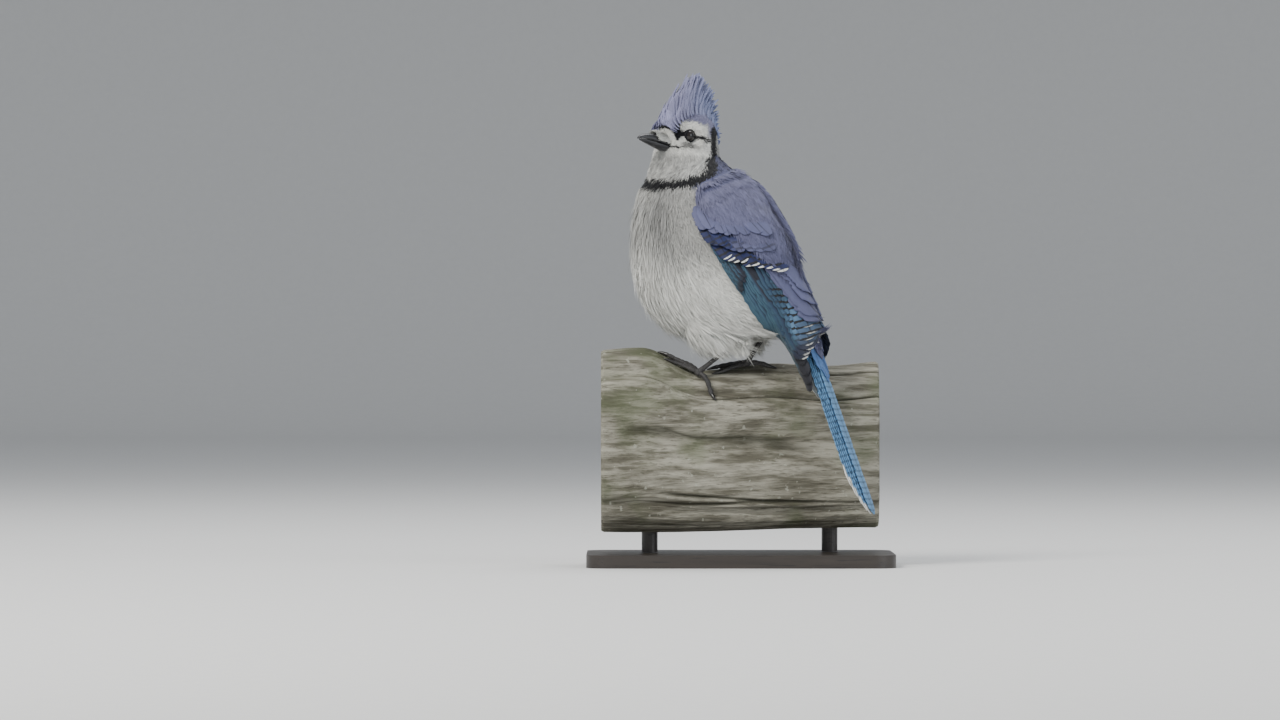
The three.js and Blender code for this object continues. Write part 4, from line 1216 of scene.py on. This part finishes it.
def tail_coverts(name, out, away, length, tint, material, bars):
    """Nine short feathers over or under the tail's root. Away is 1 over it and -1 under it."""
    k = np.arange(-4, 5) / 2
    share, across = vane_grid(len(k), 22, 9, 0.5)
    aside = across * 4.2
    left = k[EACH] * lerp(3.0, 3.6, share) + aside
    droop = away * (0.5 * np.abs(k)[EACH] - 2.2 * (1 - share) ** 2)
    height = out + droop - 0.02 * left * left + 0.1 * (np.arange(len(k)) % 2)[EACH]
    reach = length - 4 * np.abs(k) + random.normal(0, 1.2, len(k))
    points = tail_point(lerp(-4, reach[EACH], share), left, height)
    tints = np.array(tint) * random.uniform(0.9, 1.1, (len(k), 1))
    paint = np.stack([0 * k + bars, 0 * k, 0 * k, 0 * k + length / 100], -1)
    made = add_vanes(name, points, share, across, paint, tints, VANE_THICKNESS)
    place_piece(made, material, "tail", "tail")


# The raised crest, in rows from the forehead to the nape: where each grows on the crown and where its middle
# feather's tip stands, forward and up of the head's middle.
CREST_ROWS = [
    (19.5, 2.5, 20.5, 12), (17.5, 5, 17.5, 20), (15, 9.5, 11.0, 28.5), (11, 13.5, 4.6, 35.5),
    (5, 16, -1.2, 40), (-1.5, 16.5, -9.6, 36), (-8, 15, -16.6, 29.5), (-14, 9.5, -21.6, 18),
    (-17, 4, -23.5, 8),
]


def crest_layer(name, rows, columns, outermost, half, reach, material):
    """Crest feathers in rows from the forehead to the nape, each of some columns from right to left."""
    spread = np.linspace(-outermost, outermost, columns)
    row_share, column = np.meshgrid(np.linspace(0, 1, rows), spread, indexing="ij")
    row_share, column = row_share.ravel(), column.ravel()
    count = len(column)
    spot = between(CREST_ROWS, row_share * (len(CREST_ROWS) - 1))
    jitter = random.normal(0, 1, (count, 3))
    root_f, root_u = spot[:, 0] + 0.5 * jitter[:, 0], spot[:, 1] - 1.0 * column ** 2
    tip_f = lerp(root_f, spot[:, 2], reach) + 0.9 * jitter[:, 1]
    tip_u = lerp(root_u, spot[:, 3] - 2 * column ** 2, reach) + 0.9 * jitter[:, 2]
    share, across = vane_grid(count, 16, 5, 0.25, 0.6)
    run_f, run_u = tip_f - root_f, tip_u - root_u
    length = np.hypot(run_f, run_u)
    turn = np.radians(45 * column)
    curl = 1.6 * np.sin(math.pi * share) + 0.3 * (1 - across * across)
    aside = across * half
    forward = root_f[EACH] + run_f[EACH] * share + (run_u / length)[EACH] * curl
    forward = forward - aside * np.sin(turn)[EACH] * 0.7
    up = root_u[EACH] + run_u[EACH] * share - (run_f / length)[EACH] * curl
    left = column[EACH] * lerp(5.4, 3.0, share) + aside * np.cos(turn)[EACH]
    points = head_point(forward, left, up)
    back = smooth(row_share, 0.25, 0.9)[:, None]
    tints = np.array(LAVENDER) * (1 - back) + np.array(CREST_BLUE) * back
    tints = tints * lerp(1.25, 1.0, smooth(row_share, 0.0, 0.3))[:, None]
    tints = tints * random.uniform(0.85, 1.15, (count, 1))
    paint = np.stack([0 * column, 0 * column, 0 * column, length / 100], -1)
    made = add_vanes(name, points, share, across, paint, tints, 0.14, 0.25)
    place_piece(made, material, "crest", "crest")


def make_crest(materials):
    crest_layer("crest_long", 22, 7, 1.2, 1.9, 1.0, materials["crest"])
    crest_layer("crest_middle", 22, 9, 1.6, 1.8, 0.80, materials["crest"])
    crest_layer("crest_short", 20, 13, 2.05, 1.7, 0.56, materials["crest"])


# Head parts

# The bill's halves from root to tip: forward, outer edge, mouth edge and half width.
BILL_TIP = 40.2
UPPER_BILL = [
    (12, -3.2, -9.5, 4.6), (18, -3.2, -9.3, 4.7), (24, -3.5, -9, 4.2), (30, -4.4, -8.6, 3.3),
    (35, -5.4, -8.5, 2.5), (38.5, -6.9, -8.9, 1.7), (BILL_TIP, -8.2, -9.7, 0.8),
]
LOWER_BILL = [
    (12, -13.6, -9.8, 4.2), (18, -13.4, -9.6, 4.3), (24, -12.9, -9.3, 3.8), (30, -11.9, -8.9, 2.8),
    (35, -11.0, -8.9, 2.0), (38.6, -10.3, -9.2, 0.9),
]


def make_mandible(name, profile, material):
    steps, half = 60, 22
    rows = between(profile, np.linspace(0, len(profile) - 1, steps))
    forward, outer, mouth, wide = (v[:, None] for v in rows.T)
    turn = np.linspace(0, math.pi, half)[None]
    left, rise = np.cos(turn), np.sin(turn) ** 0.8
    keel = 1 - 0.10 * np.sin(turn) ** 8
    over = head_point(forward + 0 * turn, wide * left * keel, lerp(mouth, outer, rise))
    inner = mouth + 0.25 * np.sign(outer - mouth) * np.sin(turn)
    under = head_point(forward + 0 * turn, -wide * left * 0.94, inner)
    piece = add_loft(name, np.concatenate([over, under[:, 1:-1]], 1))
    place_piece(piece, material, "bill", name)


def make_eye(side, material):
    """An eyeball with a slight bulge, whose attribute iris marks the dark rim and the pupil."""
    name = side_name(side)
    middle = head_point(EYE_PLACE[0], side * EYE_PLACE[1], EYE_PLACE[2])
    eye = add_ball(f"eyeball_{name}", middle, EYE_RADIUS, 64, 40)
    points = mesh_points(eye.data)
    outward = left_of(HEAD_YAW) * side
    out = (points - middle) @ outward
    off = np.linalg.norm(points - middle - scaled(outward, out), axis=1)
    bulge = 0.25 * smooth(out, 2.4, 4.0)
    moved = (points + scaled(outward, bulge)) * MM
    eye.data.vertices.foreach_set("co", moved.astype(np.float32).ravel())
    facing = out > 0
    rim = smooth(off, 2.7, 3.1) * facing
    pupil = (1 - smooth(off, 1.45, 1.6)) * facing
    add_values(eye, "iris", np.stack([rim, pupil, pupil, pupil], -1))
    place_piece(eye, material, "eye", f"eye_{name}")


LID_RADIUS = 3.6
LID_OUT = EYE_PLACE[1] + 2.35
LID_SHAPE = (72, 14)  # corners round the eye and round the lid's own edge


def make_lid(side, material):
    """A ring of bare wrinkled skin round the eye."""
    around, through = LID_SHAPE
    turn = np.linspace(0, 2 * math.pi, around, endpoint=False)[:, None]
    round_it = np.linspace(0, 2 * math.pi, through, endpoint=False)[None]
    radius = LID_RADIUS + 0.5 * np.cos(round_it) * (1 + 0.08 * np.sin(turn * 17))
    forward = EYE_PLACE[0] + radius * np.cos(turn) * 1.04
    up = EYE_PLACE[2] + radius * np.sin(turn)
    left = side * (LID_OUT + 0.45 * np.sin(round_it) + 0 * turn)
    points = head_point(forward, left, up).reshape(-1, 3)
    quads = ring_faces(around, through)
    corner = points[quads[0]]
    normal = np.cross(corner[1] - corner[0], corner[2] - corner[0])
    core = head_point(EYE_PLACE[0] + LID_RADIUS * 1.04, side * LID_OUT, EYE_PLACE[2])
    if normal @ (corner[0] - core) < 0:
        quads = quads[:, ::-1]
    lid = add_mesh(f"lid_{side_name(side)}", points, [quads])
    place_piece(lid, material, "face")


SHORT_BLADES = 6  # blades to a tuft of the face's bristles


def make_nasal_tufts(material):
    """White bristles that cover the nostrils and lie forward over the root of the bill."""
    count = 700
    side = np.where(np.arange(count) % 2, 1, -1)
    u = random.random(count)
    w = random.random(count)
    at = head_point(15.5 + 6.5 * u, side * (0.6 + 3.9 * w), -2.9 - 4.2 * w ** 1.5 + 0.2 * u)
    sideways = scaled(left_of(HEAD_YAW), side * (0.2 + 0.8 * w))
    normals = unit(sideways + scaled(head_way(0, 0, 1), 1.0 - 0.6 * w))
    lie = unit(np.broadcast_to(head_way(1, 0, -0.12), at.shape) + 0.08 * random.normal(0, 1, at.shape))
    lie = along_surface(lie, normals)
    marks = np.zeros((count, 4))
    marks[:, 0] = 0.12 * random.random(count)
    marks[:, 1] = 0.95
    length = (8.2 - 2.6 * w) * random.uniform(0.75, 1.15, count)
    size = np.ones(count)
    cell = np.stack([0.2 + 0.6 * u, 0.2 + 0.6 * w], -1)
    made = make_tufts(
        "nasal_tufts", at, normals, lie, length, 0.38 * size, 1.4 * size, 9 * size, 0.01 * size,
        SHORT_BLADES, marks, cell,
    )
    place_piece(made, material, "face")


def make_forehead_band(material):
    """The short black feathers between the bill's white tufts and the crest."""
    count = 300
    across = random.uniform(-1, 1, count)
    drop = random.random(count)
    forward = 20.4 - 3.2 * across ** 2 - 1.2 * drop
    at = head_point(forward, 7.0 * across, 0.6 + 3.6 * drop - 1.2 * across ** 2)
    onward = scaled(head_way(1, 0, 0.2), 1 - 0.5 * across ** 2)
    normals = unit(onward + scaled(left_of(HEAD_YAW), across))
    lie = unit(np.broadcast_to(head_way(-0.35, 0, 1), at.shape) + 0.1 * random.normal(0, 1, at.shape))
    lie = along_surface(lie, normals)
    marks = np.zeros((count, 4))
    marks[:, 0] = 0.95
    size = np.ones(count)
    cell = np.stack([0.5 + 0.3 * across, 0.2 + 0.5 * drop], -1)
    made = make_tufts(
        "forehead_band", at, normals, lie, 3.2 * size, 0.3 * size, 1.5 * size, 12 * size, 0.03 * size,
        SHORT_BLADES, marks, cell,
    )
    place_piece(made, material, "face")


# Legs

# Each leg's ankle in the bird's frame, and its foot and toes on the rail as (x, angle): for each toe its
# end, the point it bends towards and its radius. The last toe is the hind one.
LEGS = {
    "left": {
        "ankle": (-17.3, 12, 141.5),
        "foot": (-26, 36),
        "toes": [
            ((-41.5, 30), (-34, 29), 1.35), ((-45.5, 17), (-35, 22), 1.5), ((-39, 3), (-31, 14), 1.3),
            ((-17.5, 60), (-20, 46), 1.6),
        ],
    },
    "right": {
        "ankle": (-28, -12, 150),
        "foot": (4, 21),
        "toes": [
            ((-11.5, 30), (-4, 28), 1.3), ((-14.5, 12), (-5, 15), 1.5), ((-9, -6), (-1, 4), 1.3),
            ((16.5, 27), (11, 24), 1.6),
        ],
    },
}
CLAW_LENGTH = 6.5
HEEL_HEIGHT = 1.45 + 1.6
HEEL_RADIUS = 2.4
TOE_SIDES = 20
SHANK_SIDES = 24
JOINT_SPACING = 5.2
TOE_SCUTE = 0.95
SHANK_SCUTE = 3.1


def toe_path(foot, to, bow, radius, count=60):
    t = np.linspace(0, 1, count)
    x, angle = ((1 - t) ** 2 * foot[k] + 2 * t * (1 - t) * bow[k] + t * t * to[k] for k in range(2))
    knuckle = 0.5 * np.sin(math.pi * t) + (1 - t) * 1.2
    return rail_point(x, angle, radius + GAP + knuckle)


def path_length(path):
    return np.concatenate([[0], np.cumsum(np.linalg.norm(np.diff(path, axis=0), axis=1))])


def make_toe(path, radius):
    """A toe with swollen joints and overlapping scutes on its upper side."""
    t = np.linspace(0, 1, len(path))
    walked = path_length(path)
    joints = 1 + 0.10 * np.cos(2 * math.pi * walked / JOINT_SPACING)
    scutes = 0.07 * (1 - (walked / TOE_SCUTE) % 1)
    turn = np.linspace(0, 2 * math.pi, TOE_SIDES, endpoint=False)
    top = smooth(np.sin(turn), -0.2, 0.5)[None]
    radii = (radius * (1 - 0.18 * t) * joints)[:, None] * (1 + scutes[:, None] * top) + 0 * turn
    return add_loft("toe", tube_rings(path, radii, TOE_SIDES))


def make_claw(path, to):
    """A claw that leaves the end of a toe and curves down to the rail."""
    along = unit(path[-1] - path[-3])
    sunk = rail_point(to[0] + along[0] * CLAW_LENGTH, to[1] - along[1] * CLAW_LENGTH * 0.6, GAP)
    s = np.linspace(0, 1, 24)
    start = path[-1] + along * (CLAW_LENGTH * s[:, None] - 0.6)
    line = start + (sunk - start) * (s * s * 0.9)[:, None]
    return add_loft("claw", tube_rings(line, 1.15 * (1 - s) ** 0.7 + 0.08, 14, 1.15))


def make_shank(ankle, heel):
    """The bare shank, with scutes down its front."""
    s = np.linspace(0, 1, 90)
    path = ankle + (heel - ankle) * s[:, None]
    radii = np.interp(s, [0, 0.08, 0.25, 0.8, 0.94, 1], [2.1, 1.8, 1.42, 1.42, 1.75, 1.9])
    turn = np.linspace(0, 2 * math.pi, SHANK_SIDES, endpoint=False)
    front = smooth(-np.cos(turn), -0.3, 0.5)[None]
    scutes = 0.09 * (1 - (path_length(path) / SHANK_SCUTE) % 1)[:, None] * front
    return add_loft("shank", tube_rings(path, radii[:, None] * (1 + scutes), SHANK_SIDES))


def make_leg(name, leg, materials):
    foot = leg["foot"]
    heel = rail_point(foot[0], foot[1], HEEL_HEIGHT)
    parts = []
    claws = []
    for to, bow, radius in leg["toes"]:
        path = toe_path(foot, to, bow, radius)
        parts.append(make_toe(path, radius))
        claws.append(make_claw(path, to))
    parts.append(make_shank(bird(*leg["ankle"]), heel))
    parts.append(add_ball("heel", heel, HEEL_RADIUS, 32, 20))
    made = joined(f"leg_{name}", parts)
    place_piece(made, materials["leg"], "leg", f"shank_{name}", f"foot_{name}")
    horned = joined(f"claws_{name}", claws)
    nodes = [f"claw_{name}_{k + 1}" for k in range(len(claws))]
    place_piece(horned, materials["claw"], "claw", *nodes)


# Rail and stand

RAIL_STEPS, RAIL_SIDES = 260, 300
END_RINGS = 14
CRACKS = 70


def crack_depth(x, angle):
    """How deep the long cracks cut in at each place on the rail."""
    half = RAIL["length"] / 2
    depth = 0 * x * angle
    for k in range(CRACKS):
        at = random.uniform(-180, 180)
        middle, reach = random.uniform(-half, half), random.uniform(20, 90)
        wander = random.uniform(1, 2.5) * np.sin(x / random.uniform(14, 30) + k)
        off = (angle - at - wander + 180) % 360 - 180
        fade = np.exp(-((x - middle) / reach) ** 4)
        deep = random.uniform(0.25, 1.5)
        depth = depth + deep * np.exp(-(off / random.uniform(0.8, 1.8)) ** 2) * fade
    return depth


def cut_end(ring, inward):
    """Rings that close one end of the rail, rough as sawn wood."""
    centre = ring.mean(1, keepdims=True)
    shares = np.linspace(1, 0.06, END_RINGS + 1)[1:, None, None]
    cap = centre + (ring - centre) * shares
    rough = 0.35 * np.sin(cap[..., 1] * 1.7) * np.sin(cap[..., 2] * 1.3)
    rough = rough + 0.12 * random.normal(0, 1, cap.shape[:2])
    cap[..., 0] += inward * (0.35 + rough) * (1 - shares[..., 0])
    return cap


def make_rail(material):
    """The rail with its grain opened by weather: grooves, long cracks and rough cut ends."""
    half = RAIL["length"] / 2
    x = np.linspace(-half, half, RAIL_STEPS)[:, None]
    angle = np.linspace(-180, 180, RAIL_SIDES, endpoint=False)[None]
    depth = crack_depth(x, angle)
    fibre = 0.16 * np.sin(angle * 2.3 + 1.2 * np.sin(x / 19)) * np.sin(angle * 1.1 + x / 50)
    edge = 0.8 * smooth(np.abs(x), half - 1.6, half)
    outer = rail_point(x, angle, fibre - depth - edge)
    first, last = cut_end(outer[:1], 1), cut_end(outer[-1:], -1)
    rail = add_loft("rail", np.concatenate([first[::-1], outer, last]))
    plain = np.zeros((END_RINGS, RAIL_SIDES))
    # The first channel of carved marks the cracks, where the wood is painted with shade; the second marks the
    # sawn ends' end grain.
    groove = np.concatenate([plain, smooth(depth, 0.35, 1.3), plain]).ravel()
    cut = np.concatenate([plain + 1, np.zeros((RAIL_STEPS, RAIL_SIDES)), plain + 1]).ravel()
    groove, cut = (np.concatenate([v, v[:1], v[-1:]]) for v in (groove, cut))
    add_values(rail, "carved", np.stack([groove, cut, cut, cut], -1))
    place_piece(rail, material, "wood", "perch_rail")


def finish_stand(material):
    """The stand shows as it is in model.glb, with the render's finish."""
    for node in ("stand_base", "stand_rod_left", "stand_rod_right"):
        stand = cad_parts[node]
        stand.data.materials.clear()
        stand.data.materials.append(material)


# Studio

def make_stage(material):
    """A pale paper floor that curves up far behind the model. It is no part of the object."""
    bend = np.radians(np.arange(6, 91, 6))
    flat_to, radius, height, half_width = 6.5, 0.9, 5.0, 7.0  # metres
    run = np.concatenate([[-9.0, flat_to], flat_to + radius * np.sin(bend), [flat_to + radius]])
    rise = np.concatenate([[0.0, 0.0], radius - radius * np.cos(bend), [height]])
    wide = np.array([-half_width, half_width])
    points = np.stack(np.broadcast_arrays(wide[None], run[:, None], rise[:, None]), -1).reshape(-1, 3)
    sweep = add_mesh("studio_sweep", points / MM, [grid_faces(len(run), 2)])
    sweep.data.materials.append(material)


LIGHT_TARGET = (-0.04, -0.01, 0.19)


def add_light(name, place, size, power, colour=(1.0, 1.0, 1.0)):
    lamp = bpy.data.lights.new(name, "AREA")
    lamp.size = size
    lamp.energy = power
    lamp.color = colour
    light = bpy.data.objects.new(name, lamp)
    bpy.context.collection.objects.link(light)
    aim = np.array(LIGHT_TARGET) - np.array(place)
    light.location = place
    light.rotation_euler = Vector(aim).to_track_quat("-Z", "Y").to_euler()


def make_camera():
    camera = bpy.data.cameras.new("camera")
    camera.sensor_width = SENSOR
    camera.lens = SENSOR * CAMERA_DISTANCE / (PICTURE[0] * PIXEL)
    view = bpy.data.objects.new("camera", camera)
    bpy.context.collection.objects.link(view)
    across = (PICTURE[0] / 2 - RAIL_MIDDLE_PIXEL) * PIXEL
    height = (FLOOR_PIXEL - PICTURE[1] / 2) * PIXEL
    view.location = (across * MM, -CAMERA_DISTANCE * MM, height * MM)
    view.rotation_euler = (math.pi / 2, 0, 0)
    camera.clip_start = 0.1
    camera.clip_end = 50
    bpy.context.scene.camera = view


def light_studio():
    world = bpy.data.worlds.new("studio")
    bpy.context.scene.world = world
    world.use_nodes = True
    background = world.node_tree.nodes["Background"]
    background.inputs["Color"].default_value = (0.80, 0.84, 0.90, 1)
    background.inputs["Strength"].default_value = 0.55
    add_light("key", (-1.3, -1.7, 1.9), 1.0, 78, (1.0, 0.98, 0.94))
    add_light("fill", (1.9, -1.5, 0.9), 1.6, 20, (0.92, 0.96, 1.0))
    add_light("top", (0.2, 0.6, 2.2), 1.4, 34)


# Assembly

materials = {
    "coat": plumage("plumage"),
    "wing": vane_finish("wing_feathers", 4.4),
    "tail": vane_finish("tail_feathers", 3.6),
    "crest": vane_finish("crest_feathers", 5.0, 0.65),
    "bill": horn("bill_horn", (0.009, 0.009, 0.011), (0.028, 0.028, 0.032), 0.26),
    "lid": lid_finish(),
    "claw": horn("claw_horn", (0.010, 0.009, 0.008), (0.060, 0.055, 0.050), 0.25),
    "eye": eye_finish(),
    "leg": leg_finish(),
    "wood": wood_finish(),
    "stand": stand_finish(),
    "floor": floor_finish(),
}
make_camera()
light_studio()
make_stage(materials["floor"])

skin = make_skin()
skin_points = mesh_points(skin.data)
add_values(skin, "marks", markings(skin_points + mesh_normals(skin.data) * 0.8))
add_values(skin, "strand", np.full((len(skin_points), 4), 0.35))
place_piece(skin, materials["coat"], "breast", "head", "neck", "torso", "thigh_left", "thigh_right")
make_coat(skin, materials["coat"])
make_wings(materials)
make_tail(materials)
make_crest(materials)
make_mandible("bill_upper", UPPER_BILL, materials["bill"])
make_mandible("bill_lower", LOWER_BILL, materials["bill"])
for side in (1, -1):
    make_eye(side, materials["eye"])
    make_lid(side, materials["lid"])
make_nasal_tufts(materials["coat"])
make_forehead_band(materials["coat"])
for name, leg in LEGS.items():
    make_leg(name, leg, materials)
make_rail(materials["wood"])
finish_stand(materials["stand"])
